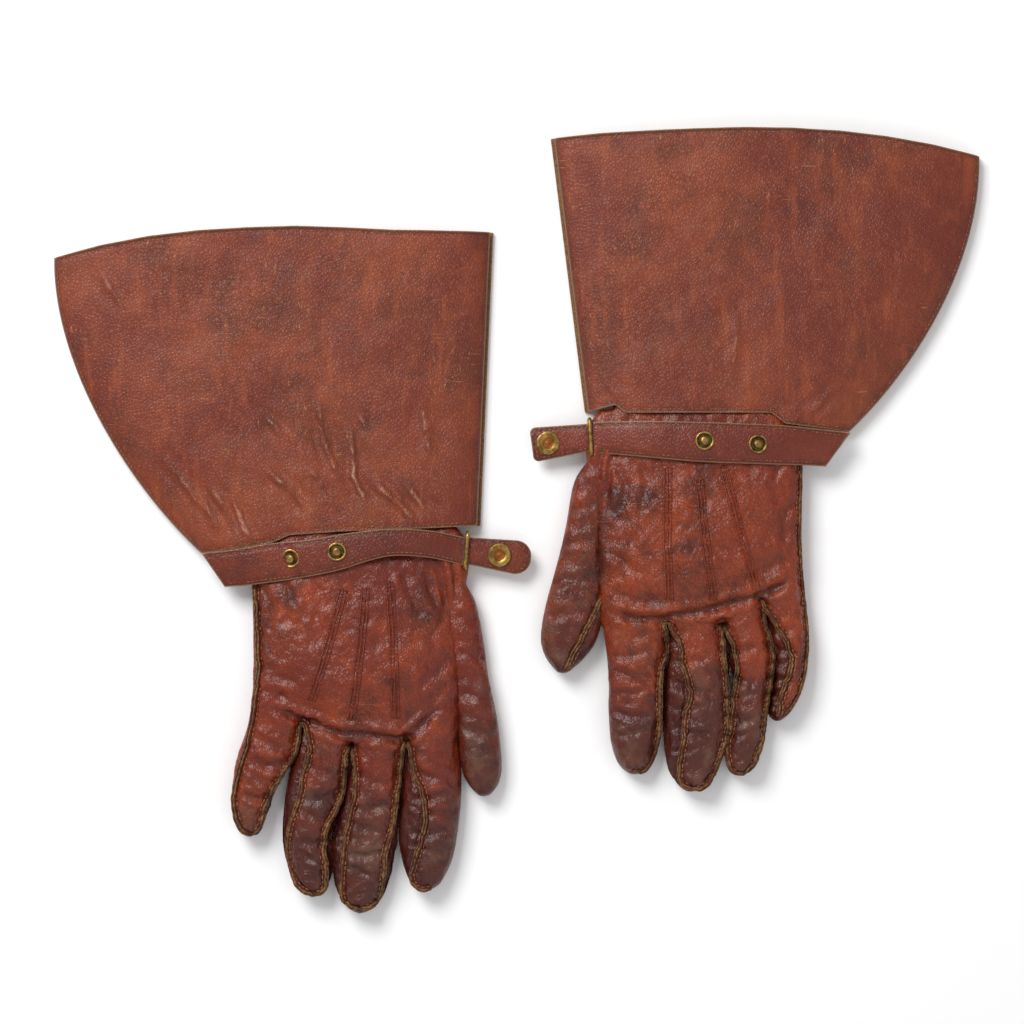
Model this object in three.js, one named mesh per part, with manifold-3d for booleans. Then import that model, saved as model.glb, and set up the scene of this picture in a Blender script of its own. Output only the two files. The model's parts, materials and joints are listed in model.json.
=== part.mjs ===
// A pair of leather gauntlet riding gloves, lying palm down side by side, in millimetres, +Z up.
// Each glove is built in a frame of its own: the origin is the middle of the wrist, +x points to the
// thumb, +y to the forearm, and the left glove is the mirror image of that frame. Every piece that
// moves sits in a group placed on its hinge, with the group's x axis along the hinge's axis.
import * as THREE from "three";
import { mergeVertices } from "three/addons/utils/BufferGeometryUtils.js";
import Module from "manifold-3d";

const manifold = await Module();
manifold.setup();

// Leather and clearances
const seamGap = 0.4; // between two pieces that are sewn or riveted face to face
const gloveLeather = 1.6;
const liningLeather = 0.8;
const strapLeather = 2.2;
const chapeLeather = 1.0;

// Cuff
const cuffRiseAtWrist = 13; // how far the upper panel arches over the lining, at the wrist end
const cuffRiseAtMouth = 12;
const cuffCells = [10, 8];

// Hand
const handRise = [17, 22, 20, 14]; // height inside the back of the hand, from the knuckles to the wrist
const handCells = [12, 5];
const palmSetBack = 8; // the palm stops this far short of the back, to leave room for flexed fingers
const wristHingeHeight = 10;

// Fingers and thumb
const stallSides = 12;
const fingerFlat = 0.62; // thickness over width
const tipArc = [0.4, 0.7, 0.9]; // places along the rounded tip
const gussetHeight = 0.5; // share of the finger's thickness that the fourchette takes up
const gussetFoot = 6;
const gussetReach = 0.8; // share of the finger's length
const gussetInset = 0.85; // share of the half width at which the fourchette's middle stands

// Wrist strap, brass loop and snaps
const strapCells = [14, 2];
const strapEndSlant = 15;
const loopInside = [18.8, 6.7]; // across the strap, and in height
const loopWall = 1.8;
const loopWidth = 3.4;
const loopBarHeight = 7.6; // centre of the lower bar above the ground
const chapeHole = 2.2;
const chapeWidth = 14;
const chapeLength = 11;
const roundSides = 14;
const tabStart = -1.2; // from the loop's centre to the tab's root
const tabSlope = 0.1;
const tabDrop = 3.5; // from the upper bar's centre down to the middle of the tab
const snapStem = 1.2;
const stemHole = 2;

const gloves = {
  right: {
    mirror: 1,
    place: [-95.5, -31.5],
    fingers: {
      index: { knuckle: [47, -98.5], tip: [43.5, -184], radii: [15.4, 16, 14.6], gussets: [1] },
      middle: { knuckle: [14.5, -101], tip: [4.5, -196.5], radii: [14.8, 15.2, 14.2], gussets: [1, -1] },
      ring: { knuckle: [-14, -96.5], tip: [-24.5, -188], radii: [12.6, 13.2, 12.8], gussets: [1, -1] },
      little: { knuckle: [-43.5, -86], tip: [-59.7, -153.7], radii: [13.2, 13.6, 12.4], gussets: [-1] },
    },
    thumb: { root: [66, -13], tip: [78, -130.5], radii: [6.5, 9.6, 11.6], flat: 0.8 },
    ulnarEdge: [[-59, 4], [-57.4, -39], [-57.4, -62], [-60.5, -78]],
    thumbEdge: [[50, 4], [56.8, -22], [60.5, -51], [63, -92]],
    knuckleLine: [[-43, -82], [-30, -85.3], [-14, -91.5], [15, -95.5], [47, -94]],
    wristHinge: { at: [-1, 3] },
    cuff: {
      ulnarFoot: [-88, 13],
      flare: [[-133, 50], [-177, 128]],
      ulnarTop: [-174, 182],
      thumbTop: [80, 197],
      thumbFoot: [72, 28],
      topBow: 9,
      palmFoot: [[-84, 13], [70, 17]],
    },
    strapPath: [
      [-78, 1, 12],
      [-56, 4, 18],
      [-35, 8.1, 21],
      [-8, 12, 22.4],
      [20, 16, 22],
      [42, 16, 19],
      [63.2, 12.7, 12.4],
    ],
    strapHalfWidth: [11, 9],
    studs: [[-34.8, 8.1], [-8.1, 12]],
    loop: { at: [66.4, 12.6], turn: -5 },
    tab: { length: 39, lean: 0.05, rootHalf: 7.6, endHalf: 10.6, corner: 10, socket: 19.5 },
  },
  left: {
    mirror: -1,
    place: [109.3, 31.9],
    fingers: {
      index: { knuckle: [42, -93], tip: [43.5, -178.6], radii: [16.4, 16.8, 15], gussets: [1] },
      middle: { knuckle: [7, -93.5], tip: [8.7, -190.2], radii: [15.4, 15.8, 14.6], gussets: [1, -1] },
      ring: { knuckle: [-21, -89], tip: [-18.6, -181.5], radii: [11.4, 11.7, 11.4], gussets: [1, -1] },
      little: { knuckle: [-45.5, -82.5], tip: [-42.3, -149], radii: [11.6, 12, 11], gussets: [-1] },
    },
    thumb: { root: [69, -13], tip: [84, -123], radii: [6.5, 10.5, 14], flat: 0.66 },
    ulnarEdge: [[-57, 4], [-56.4, -36], [-56.6, -56], [-59, -78]],
    thumbEdge: [[53, 4], [58, -24], [60.5, -50], [61, -86.5]],
    knuckleLine: [[-45, -77.5], [-34, -78.5], [-21, -84.5], [7, -88.8], [42, -88.5]],
    wristHinge: { at: [0, 3] },
    cuff: {
      ulnarFoot: [-83, 19],
      flare: [[-126, 56], [-160, 118]],
      ulnarTop: [-160, 177.5],
      thumbTop: [87, 190.5],
      thumbFoot: [66.5, 31],
      topBow: 11,
      palmFoot: [[-79, 16], [66, 18]],
    },
    strapPath: [
      [-74, 7.5, 12],
      [-54, 9, 18],
      [-30, 10.7, 21],
      [1, 12.6, 22.4],
      [30, 13.6, 21.2],
      [48, 14.6, 17.6],
      [63.2, 14.7, 12.4],
    ],
    strapHalfWidth: [10.4, 9],
    studs: [[1, 12.6], [-29.6, 10.7]],
    loop: { at: [66.6, 14.8], turn: -3 },
    tab: { length: 35.5, lean: 0.08, rootHalf: 7.8, endHalf: 10.2, corner: 3.5, socket: 25 },
  },
};

const colours = {
  hand: 0x7a3224,
  finger: 0x62281f,
  gusset: 0x5a231c,
  cuff: 0x7d3a28,
  lining: 0xa37a4c,
  strap: 0x74301f,
  brass: 0xb08d3c,
};

function material(name) {
  const metal = name === "brass";
  return new THREE.MeshStandardMaterial({
    color: colours[name],
    roughness: metal ? 0.35 : 0.6,
    metalness: metal ? 1 : 0,
  });
}

// A closed geometry as a solid, and a solid as a geometry.
function solidOf(geometry) {
  const bare = geometry.clone();
  bare.deleteAttribute("normal");
  bare.deleteAttribute("uv");
  const merged = mergeVertices(bare, 1e-4);
  const mesh = new manifold.Mesh({
    numProp: 3,
    vertProperties: new Float32Array(merged.attributes.position.array),
    triVerts: new Uint32Array(merged.index.array),
  });
  return new manifold.Manifold(mesh);
}

function geometryOf(solid) {
  const mesh = solid.getMesh();
  const geometry = new THREE.BufferGeometry();
  geometry.setAttribute("position", new THREE.BufferAttribute(mesh.vertProperties, 3));
  geometry.setIndex(new THREE.BufferAttribute(mesh.triVerts, 1));
  return geometry;
}

function piece(name, geometry, colour) {
  const mesh = new THREE.Mesh(geometry, material(colour));
  mesh.name = name;
  return mesh;
}

// A plate of across by along cells, moulded by place(u, v, w), which gets 0 to 1 in each direction.
// Its two faces are split along the same diagonals, so that moulded plates nest without touching.
function mouldedPlate([across, along], place) {
  const corners = [];
  const index = [];
  const id = (i, j, k) => (k * (along + 1) + j) * (across + 1) + i;
  const face = (a, b, c, d) => index.push(a, b, c, a, c, d);
  for (const k of [0, 1]) {
    for (let j = 0; j <= along; j++) {
      for (let i = 0; i <= across; i++) corners.push(...place(i / across, j / along, k));
    }
  }
  for (let j = 0; j < along; j++) {
    for (let i = 0; i < across; i++) {
      face(id(i, j, 1), id(i + 1, j, 1), id(i + 1, j + 1, 1), id(i, j + 1, 1));
      face(id(i + 1, j + 1, 0), id(i + 1, j, 0), id(i, j, 0), id(i, j + 1, 0));
    }
  }
  for (let i = 0; i < across; i++) {
    face(id(i, 0, 0), id(i + 1, 0, 0), id(i + 1, 0, 1), id(i, 0, 1));
    face(id(i + 1, along, 0), id(i, along, 0), id(i, along, 1), id(i + 1, along, 1));
  }
  for (let j = 0; j < along; j++) {
    face(id(0, j + 1, 0), id(0, j, 0), id(0, j, 1), id(0, j + 1, 1));
    face(id(across, j, 0), id(across, j + 1, 0), id(across, j + 1, 1), id(across, j, 1));
  }
  const plate = new THREE.BufferGeometry();
  plate.setAttribute("position", new THREE.BufferAttribute(new Float32Array(corners), 3));
  plate.setIndex(index);
  return plate;
}

// A round piece from its section, [radius, height] from the bottom up, standing along z.
function turned(section, sides = roundSides) {
  const points = section.map(([r, h]) => new THREE.Vector2(r, h));
  return new THREE.LatheGeometry(points, sides).rotateX(Math.PI / 2);
}

// The height of an arch at u across its span, from 0 at the feet to 1 at the crown.
const arch = (u) => Math.pow(1 - Math.pow(Math.abs(2 * u - 1), 2.6), 0.45);
const mix = (a, b, t) => a + (b - a) * t;
const flatPoint = ([x, y]) => new THREE.Vector2(x, y);

// Cuff: two shaped panels with a thin lining inside each, sewn along both sides.
function cuffPoint(cuff, foot, u, v) {
  const [c1, c2] = cuff.flare;
  const flareEnds = [foot[0], c1, c2, cuff.ulnarTop].map(flatPoint);
  const flare = new THREE.CubicBezierCurve(...flareEnds);
  const ulnar = flare.getPoint(v);
  const thumb = flatPoint(foot[1]).lerp(flatPoint(cuff.thumbTop), v);
  const at = ulnar.lerp(thumb, u);
  at.y += cuff.topBow * 4 * u * (1 - u) * v;
  return at;
}

function cuffPanel(cuff, foot, underside, thickness, arched) {
  return mouldedPlate(cuffCells, (u, v, w) => {
    const at = cuffPoint(cuff, foot, u, v);
    const rise = arched ? mix(cuffRiseAtWrist, cuffRiseAtMouth, v) * arch(u) : 0;
    return [at.x, at.y, underside + rise + w * thickness];
  });
}

function addCuff(side, glove, body) {
  const { cuff } = glove;
  const backFoot = [cuff.ulnarFoot, cuff.thumbFoot];
  const layers = [
    ["cuff_palm_panel", cuff.palmFoot, gloveLeather, false, "cuff"],
    ["cuff_palm_lining", cuff.palmFoot, liningLeather, false, "lining"],
    ["cuff_back_lining", backFoot, liningLeather, true, "lining"],
    ["cuff_back_panel", backFoot, gloveLeather, true, "cuff"],
  ];
  let underside = 0;
  for (const [name, foot, thickness, arched, colour] of layers) {
    body.add(piece(`${side}_${name}`, cuffPanel(cuff, foot, underside, thickness, arched), colour));
    underside += thickness + seamGap;
  }
}

// Hand: the arched back and the flat palm, open at the wrist and towards the fingers.
function handPlate(glove, setBack, underside, arched) {
  const ulnar = new THREE.SplineCurve(glove.ulnarEdge.map(flatPoint));
  const thumb = new THREE.SplineCurve(glove.thumbEdge.map(flatPoint));
  const knuckleEnds = [ulnar.getPoint(1), ...glove.knuckleLine.map(flatPoint), thumb.getPoint(1)];
  const knuckles = new THREE.SplineCurve(knuckleEnds);
  const rise = new THREE.SplineCurve(handRise.map((h, i) => new THREE.Vector2(i, h)));
  const { at: hinge } = glove.wristHinge;
  return mouldedPlate(handCells, (u, v, w) => {
    const a = ulnar.getPoint(1 - v);
    const b = thumb.getPoint(1 - v);
    const fingerEnd = knuckles.getPoint(u);
    const lastX = mix(ulnar.getPoint(1).x, thumb.getPoint(1).x, u);
    const x = mix(mix(fingerEnd.x, lastX, v), mix(a.x, b.x, u), v);
    const y = mix(fingerEnd.y + setBack, mix(glove.ulnarEdge[0][1], glove.thumbEdge[0][1], u), v);
    const height = arched ? rise.getPoint(v).y * arch(u) : 0;
    return [x - hinge[0], y - hinge[1], underside + height + w * gloveLeather - wristHingeHeight];
  });
}

// A finger or thumb stall: a tapered, flattened tube with a rounded closed tip, open at its root.
function stallProfile(length, [root, middle, far], startsAt) {
  const points = [new THREE.Vector2(0, startsAt), new THREE.Vector2(root, startsAt)];
  points.push(new THREE.Vector2(middle, length / 3));
  points.push(new THREE.Vector2(far, (2 * length) / 3));
  for (const t of tipArc) {
    points.push(new THREE.Vector2(far * Math.sqrt(1 - t * t), (length * (2 + t)) / 3));
  }
  points.push(new THREE.Vector2(0, length));
  return points;
}

function stallWall(length, radii, flat) {
  const widest = Math.max(...radii);
  const innerFlat = (widest * flat - gloveLeather) / (widest - gloveLeather);
  const outer = new THREE.LatheGeometry(stallProfile(length, radii, 0), stallSides).scale(1, 1, flat);
  const inner = new THREE.LatheGeometry(
    stallProfile(length - gloveLeather, radii.map((r) => r - gloveLeather), -1),
    stallSides,
  ).scale(1, 1, innerFlat);
  return solidOf(outer).subtract(solidOf(inner));
}

function gussetBlock(length, radii, flat, sideways, extra) {
  const widest = Math.max(...radii);
  const height = 2 * widest * flat * gussetHeight + 2 * extra;
  const run = length * gussetReach - gussetFoot + 2 * extra;
  const block = new THREE.BoxGeometry(widest, run, height);
  block.translate(sideways * widest * gussetInset, gussetFoot - extra + run / 2, 0);
  return solidOf(block);
}

function placeAlong(group, from, to, height) {
  const run = flatPoint(to).sub(flatPoint(from));
  group.position.set(from[0], from[1], height);
  group.rotation.z = Math.atan2(-run.x, run.y);
  return run.length();
}

function addFinger(side, name, finger, hand, hinge) {
  const group = new THREE.Group();
  group.name = `${side}_${name}_knuckle`;
  const height = Math.max(...finger.radii) * fingerFlat;
  const length = placeAlong(group, finger.knuckle, finger.tip, height);
  group.position.sub(new THREE.Vector3(hinge[0], hinge[1], wristHingeHeight));
  const wall = stallWall(length, finger.radii, fingerFlat);
  let stall = wall;
  for (const sideways of finger.gussets) {
    const strip = wall.intersect(gussetBlock(length, finger.radii, fingerFlat, sideways, 0));
    stall = stall.subtract(gussetBlock(length, finger.radii, fingerFlat, sideways, seamGap));
    const where = sideways > 0 ? "outer" : "inner";
    group.add(piece(`${side}_${name}_${where}_fourchette`, geometryOf(strip), "gusset"));
  }
  group.add(piece(`${side}_${name}_stall`, geometryOf(stall), "finger"));
  hand.add(group);
}

function addThumb(side, thumb, hand, hinge) {
  const group = new THREE.Group();
  group.name = `${side}_thumb_root`;
  const height = Math.max(...thumb.radii) * thumb.flat;
  const length = placeAlong(group, thumb.root, thumb.tip, height);
  group.position.sub(new THREE.Vector3(hinge[0], hinge[1], wristHingeHeight));
  group.add(piece(`${side}_thumb_stall`, geometryOf(stallWall(length, thumb.radii, thumb.flat)), "hand"));
  hand.add(group);
}

function addHand(side, glove, body) {
  const { at } = glove.wristHinge;
  const pivot = new THREE.Group();
  pivot.name = `${side}_wrist`;
  pivot.position.set(at[0], at[1], wristHingeHeight);
  pivot.add(piece(`${side}_hand_palm`, handPlate(glove, palmSetBack, 0, false), "hand"));
  pivot.add(piece(`${side}_hand_back`, handPlate(glove, 0, gloveLeather + seamGap, true), "hand"));
  for (const [name, finger] of Object.entries(glove.fingers)) addFinger(side, name, finger, pivot, at);
  addThumb(side, glove.thumb, pivot, at);
  body.add(pivot);
}

// Wrist strap: a band of leather over the wrist, with two studs riveted through it.
function strapFrame(glove) {
  const curve = new THREE.CatmullRomCurve3(glove.strapPath.map((p) => new THREE.Vector3(...p)));
  return (u) => {
    const at = curve.getPointAt(u);
    const along = curve.getTangentAt(u);
    const across = new THREE.Vector3(0, 0, 1).cross(along).normalize();
    return { at, across, up: along.clone().cross(across).normalize() };
  };
}

function strapAt(glove, x) {
  const frameAt = strapFrame(glove);
  let low = 0;
  let high = 1;
  for (let i = 0; i < 30; i++) {
    const middle = (low + high) / 2;
    if (frameAt(middle).at.x < x) low = middle;
    else high = middle;
  }
  return frameAt(low);
}

function strapBand(glove) {
  const frameAt = strapFrame(glove);
  const [wide, narrow] = glove.strapHalfWidth;
  return mouldedPlate(strapCells, (u, v, w) => {
    const { at, across, up } = frameAt(u);
    const half = mix(wide, narrow, u);
    const point = at.addScaledVector(across, (2 * v - 1) * half).addScaledVector(up, w * strapLeather);
    point.x -= strapEndSlant * (v - 0.5) * Math.pow(1 - u, 5);
    return point.toArray();
  });
}

const studSection = [
  [0, -4.2],
  [snapStem, -4.2],
  [snapStem, 0.35],
  [5.7, 0.35],
  [5.7, 0.9],
  [4.6, 1.3],
  [3.4, 0.8],
  [2.2, 0.8],
  [1.9, 2.4],
  [2.4, 3.2],
  [1.8, 4.1],
  [0, 4.1],
];

const studBackSection = [
  [snapStem + seamGap, -3.6],
  [4.2, -3.6],
  [4.8, -3.1],
  [4.8, -2.65],
  [snapStem + seamGap, -2.65],
  [snapStem + seamGap, -3.6],
];

// Turns a snap piece to stand on the strap where its frame says, with the strap's face at height 0.
function standOnStrap(geometry, { at, across, up }) {
  const top = at.clone().addScaledVector(up, strapLeather);
  const along = across.clone().cross(up);
  return geometry.applyMatrix4(new THREE.Matrix4().makeBasis(along, across, up).setPosition(top));
}

function addStrap(side, glove, body) {
  let band = solidOf(strapBand(glove));
  glove.studs.forEach(([x], i) => {
    const frame = strapAt(glove, x);
    const hole = new THREE.CylinderGeometry(stemHole, stemHole, 4 * strapLeather, roundSides);
    hole.rotateX(Math.PI / 2);
    band = band.subtract(solidOf(standOnStrap(hole, frame)));
    body.add(piece(`${side}_stud_${i + 1}`, standOnStrap(turned(studSection), frame), "brass"));
    body.add(piece(`${side}_stud_back_${i + 1}`, standOnStrap(turned(studBackSection), frame), "brass"));
  });
  body.add(piece(`${side}_wrist_strap`, geometryOf(band), "strap"));
}

// Loop: a flat brass ring that stands across the strap, its lower bar held in a folded leather chape.
function ringShape([width, height], wall) {
  const outline = (w, h) => [
    [-w / 2, -h / 2],
    [w / 2, -h / 2],
    [w / 2, h / 2],
    [-w / 2, h / 2],
  ].map(flatPoint);
  const ring = new THREE.Shape(outline(width + 2 * wall, height + 2 * wall));
  ring.holes.push(new THREE.Path(outline(width, height)));
  return ring;
}

function addLoop(side, glove, body) {
  const { at, turn } = glove.loop;
  const pivot = new THREE.Group();
  pivot.name = `${side}_loop_bar`;
  pivot.position.set(at[0], at[1], loopBarHeight);
  pivot.rotation.z = THREE.MathUtils.degToRad(turn) - Math.PI / 2;
  const loopDepth = { depth: loopWidth, bevelEnabled: false };
  const ring = new THREE.ExtrudeGeometry(ringShape(loopInside, loopWall), loopDepth);
  ring.translate(0, 0, -loopWidth / 2).rotateX(Math.PI / 2);
  const barSpacing = loopInside[1] + loopWall;
  ring.translate(0, 0, barSpacing / 2);
  pivot.add(piece(`${side}_brass_loop`, ring, "brass"));
  addTab(side, glove.tab, pivot, barSpacing);
  body.add(pivot);
  body.add(chape(side, glove));
}

function chape(side, glove) {
  const outside = chapeHole + chapeLeather;
  const fold = new THREE.Shape();
  fold.absarc(0, 0, outside, Math.PI / 2, -Math.PI / 2, true);
  fold.lineTo(-chapeLength, -loopBarHeight + gloveLeather + liningLeather + 2 * seamGap);
  fold.lineTo(-chapeLength, -loopBarHeight + gloveLeather + liningLeather + 2 * (seamGap + chapeLeather));
  const eye = new THREE.Path();
  eye.absarc(0, 0, chapeHole, 0, 2 * Math.PI, false);
  fold.holes.push(eye);
  const chapeDepth = { depth: chapeWidth, bevelEnabled: false, curveSegments: 6 };
  const strip = new THREE.ExtrudeGeometry(fold, chapeDepth);
  strip.translate(0, 0, -chapeWidth / 2).rotateX(Math.PI / 2);
  const mesh = piece(`${side}_loop_chape`, strip, "strap");
  mesh.position.set(glove.loop.at[0], glove.loop.at[1], loopBarHeight);
  mesh.rotation.z = THREE.MathUtils.degToRad(glove.loop.turn);
  return mesh;
}

// Tab: the free end of the strap beyond the loop, with the snap socket, its spring and its cap.
const socketSection = [
  [2.6, 0.3],
  [6.8, 0.3],
  [6.8, 1.5],
  [6.2, 2.1],
  [3.2, 2.1],
  [2.6, 1.8],
  [2.6, 1.7],
  [4.9, 1.7],
  [4.9, 0.7],
  [2.6, 0.7],
  [2.6, 0.3],
];
const springSection = [
  [3, 0.95],
  [4.5, 0.95],
  [4.5, 1.45],
  [3, 1.45],
  [3, 0.95],
];
const capSection = [
  [0, -2.2],
  [4.4, -1.8],
  [6.9, -0.7],
  [6.9, -0.3],
  [2.2, -0.3],
  [2.2, strapLeather - 0.2],
  [0, strapLeather - 0.2],
];

function addTab(side, tab, loop, barSpacing) {
  const pivot = new THREE.Group();
  pivot.name = `${side}_tab_fold`;
  pivot.position.set(0, 0, barSpacing);
  pivot.rotation.x = -tabSlope;
  const { length, lean, rootHalf, endHalf, corner, socket } = tab;
  const outline = new THREE.Shape();
  const shift = lean * length;
  outline.moveTo(-rootHalf, tabStart);
  outline.lineTo(rootHalf, tabStart);
  outline.lineTo(endHalf + shift, length - corner);
  outline.quadraticCurveTo(endHalf + shift, length, endHalf + shift - corner, length);
  outline.lineTo(corner - endHalf + shift, length);
  outline.quadraticCurveTo(shift - endHalf, length, shift - endHalf, length - corner);
  const hole = new THREE.Path();
  hole.absarc(lean * socket, socket, 2.2 + seamGap, 0, 2 * Math.PI, true);
  outline.holes.push(hole);
  const tabDepth = { depth: strapLeather, bevelEnabled: false, curveSegments: 5 };
  const leather = new THREE.ExtrudeGeometry(outline, tabDepth);
  const under = -tabDrop - strapLeather / 2;
  pivot.add(piece(`${side}_strap_tab`, leather.translate(0, 0, under), "strap"));
  const snaps = [
    ["snap_socket", socketSection, under + strapLeather],
    ["snap_spring", springSection, under + strapLeather],
    ["snap_cap", capSection, under],
  ];
  for (const [name, section, height] of snaps) {
    const part = piece(`${side}_${name}`, turned(section), "brass");
    part.position.set(lean * socket, socket, height);
    pivot.add(part);
  }
  loop.add(pivot);
}

const pair = new THREE.Group();
for (const [side, glove] of Object.entries(gloves)) {
  const body = new THREE.Group();
  body.name = `${side}_glove`;
  body.position.set(glove.place[0], glove.place[1], 0);
  body.scale.x = glove.mirror;
  addCuff(side, glove, body);
  addHand(side, glove, body);
  addStrap(side, glove, body);
  addLoop(side, glove, body);
  pair.add(body);
}

// The origin is the middle of the pair's footprint, on the ground.
const middle = new THREE.Box3().setFromObject(pair, true).getCenter(new THREE.Vector3());
for (const body of pair.children) body.position.sub(new THREE.Vector3(middle.x, middle.y, 0));

export default pair;
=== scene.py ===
import json
import math

import bpy
import numpy as np
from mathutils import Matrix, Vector, noise
from mathutils.bvhtree import BVHTree


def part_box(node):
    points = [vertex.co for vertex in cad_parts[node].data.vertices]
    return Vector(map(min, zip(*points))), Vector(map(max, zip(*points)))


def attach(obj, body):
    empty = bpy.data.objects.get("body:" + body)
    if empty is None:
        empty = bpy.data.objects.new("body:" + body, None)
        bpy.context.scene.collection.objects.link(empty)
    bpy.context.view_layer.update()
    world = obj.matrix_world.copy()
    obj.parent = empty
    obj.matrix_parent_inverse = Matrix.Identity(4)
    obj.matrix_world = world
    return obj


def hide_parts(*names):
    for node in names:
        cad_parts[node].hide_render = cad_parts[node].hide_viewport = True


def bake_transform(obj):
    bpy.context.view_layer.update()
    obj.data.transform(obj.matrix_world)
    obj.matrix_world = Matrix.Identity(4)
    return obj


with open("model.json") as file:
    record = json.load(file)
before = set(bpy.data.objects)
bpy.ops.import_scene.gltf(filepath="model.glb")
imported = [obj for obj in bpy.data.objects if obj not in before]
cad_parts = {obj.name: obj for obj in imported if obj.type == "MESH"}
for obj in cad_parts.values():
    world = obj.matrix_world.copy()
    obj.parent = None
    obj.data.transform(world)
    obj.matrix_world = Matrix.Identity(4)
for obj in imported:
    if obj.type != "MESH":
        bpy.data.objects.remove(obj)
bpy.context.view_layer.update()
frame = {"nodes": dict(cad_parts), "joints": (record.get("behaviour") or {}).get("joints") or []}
nodes = frame["nodes"]
joints = {joint["name"]: joint for joint in frame["joints"]}
mm = 0.001
sides = {"right": 1, "left": -1}
fingerNames = ["index", "middle", "ring", "little"]

# small helpers


def deselectAll():
    if bpy.context.object and bpy.context.object.mode != "OBJECT":
        bpy.ops.object.mode_set(mode="OBJECT")
    bpy.ops.object.select_all(action="DESELECT")


def useOnly(obj):
    deselectAll()
    obj.select_set(True)
    bpy.context.view_layer.objects.active = obj


def applyModifier(obj, kind, **settings):
    useOnly(obj)
    modifier = obj.modifiers.new(kind.title(), kind)
    for key, value in settings.items():
        setattr(modifier, key, value)
    bpy.ops.object.modifier_apply(modifier=modifier.name)


def joinAll(name, parts):
    deselectAll()
    for part in parts:
        part.select_set(True)
    bpy.context.view_layer.objects.active = parts[0]
    if len(parts) > 1:
        bpy.ops.object.join()
    parts[0].name = name
    return parts[0]


def newObject(name, mesh):
    obj = bpy.data.objects.new(name, mesh)
    bpy.context.scene.collection.objects.link(obj)
    return obj


def pointsOf(obj):
    co = np.empty(len(obj.data.vertices) * 3)
    obj.data.vertices.foreach_get("co", co)
    return co.reshape(-1, 3)


def setPoints(obj, co):
    obj.data.vertices.foreach_set("co", co.ravel())
    obj.data.update()


def normalsOf(obj):
    no = np.empty(len(obj.data.vertices) * 3)
    obj.data.vertices.foreach_get("normal", no)
    return no.reshape(-1, 3)


def smoothstep(low, high, x):
    t = np.clip((x - low) / (high - low), 0, 1)
    return t * t * (3 - 2 * t)


def noiseAt(co, scale, seed=0.0, octaves=3):
    shift = Vector((seed, seed * 1.7, -seed))
    return np.array([noise.fractal(Vector(p) * scale + shift, 0.8, 2.1, octaves) for p in co])


def storeValue(obj, name, values):
    attribute = obj.data.attributes.get(name) or obj.data.attributes.new(name, "FLOAT", "POINT")
    attribute.data.foreach_set("value", np.asarray(values, np.float32))


def shadeSmooth(obj, angle=None):
    useOnly(obj)
    if angle is None:
        bpy.ops.object.shade_smooth()
    else:
        bpy.ops.object.shade_smooth_by_angle(angle=math.radians(angle))


def lineDistance(xy, line):
    # nearest distance to a broken line, and how far along it that is
    best = np.full(len(xy), 1e9)
    along = np.zeros(len(xy))
    run = 0.0
    for (ax, ay), (bx, by) in zip(line[:-1], line[1:]):
        a = np.array([ax, ay])
        d = np.array([bx - ax, by - ay])
        length = np.hypot(*d)
        t = np.clip(((xy - a) @ d) / length**2, 0, 1)
        gap = np.hypot(*(xy - a - t[:, None] * d).T)
        near = gap < best
        best[near] = gap[near]
        along[near] = run + t[near] * length
        run += length
    return best, along / run


def smoothLine(points, steps):
    # a Catmull-Rom curve through the points, with that many equal steps
    p = np.array([points[0]] + list(points) + [points[-1]], float)
    dense = []
    for i in range(1, len(p) - 2):
        for t in np.linspace(0, 1, 24, endpoint=False):
            a, b, c, d = p[i - 1], p[i], p[i + 1], p[i + 2]
            bend, twist = 2 * a - 5 * b + 4 * c - d, 3 * b - a - 3 * c + d
            dense.append(0.5 * (2 * b + (c - a) * t + bend * t**2 + twist * t**3))
    dense = np.array(dense + [p[-2]])
    run = np.concatenate([[0], np.cumsum(np.linalg.norm(np.diff(dense, axis=0), axis=1))])
    at = np.linspace(0, run[-1], steps + 1)
    return np.stack([np.interp(at, run, dense[:, k]) for k in range(dense.shape[1])], axis=1)


# where each glove is

gloveSpace = {
    "right": {"wristAt": (-1, 3), "mirror": 1},
    "left": {"wristAt": (0, 3), "mirror": -1},
}
for side, space in gloveSpace.items():
    wrist = joints[side + "_wrist_bend"]["pos_m"]
    space["x"] = wrist[0] - space["mirror"] * space["wristAt"][0] * mm
    space["y"] = wrist[1] - space["wristAt"][1] * mm


def toWorld(side, local):
    # glove millimetres, +x to the thumb and +y to the forearm, into the row frame
    local = np.asarray(local, float)
    space = gloveSpace[side]
    world = local * mm
    world[..., 0] = space["x"] + space["mirror"] * local[..., 0] * mm
    world[..., 1] = space["y"] + local[..., 1] * mm
    return world


def toGlove(side, world):
    space = gloveSpace[side]
    local = np.array(world, float) / mm
    local[..., 0] = (world[..., 0] - space["x"]) * space["mirror"] / mm
    local[..., 1] = (world[..., 1] - space["y"]) / mm
    return local


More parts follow.
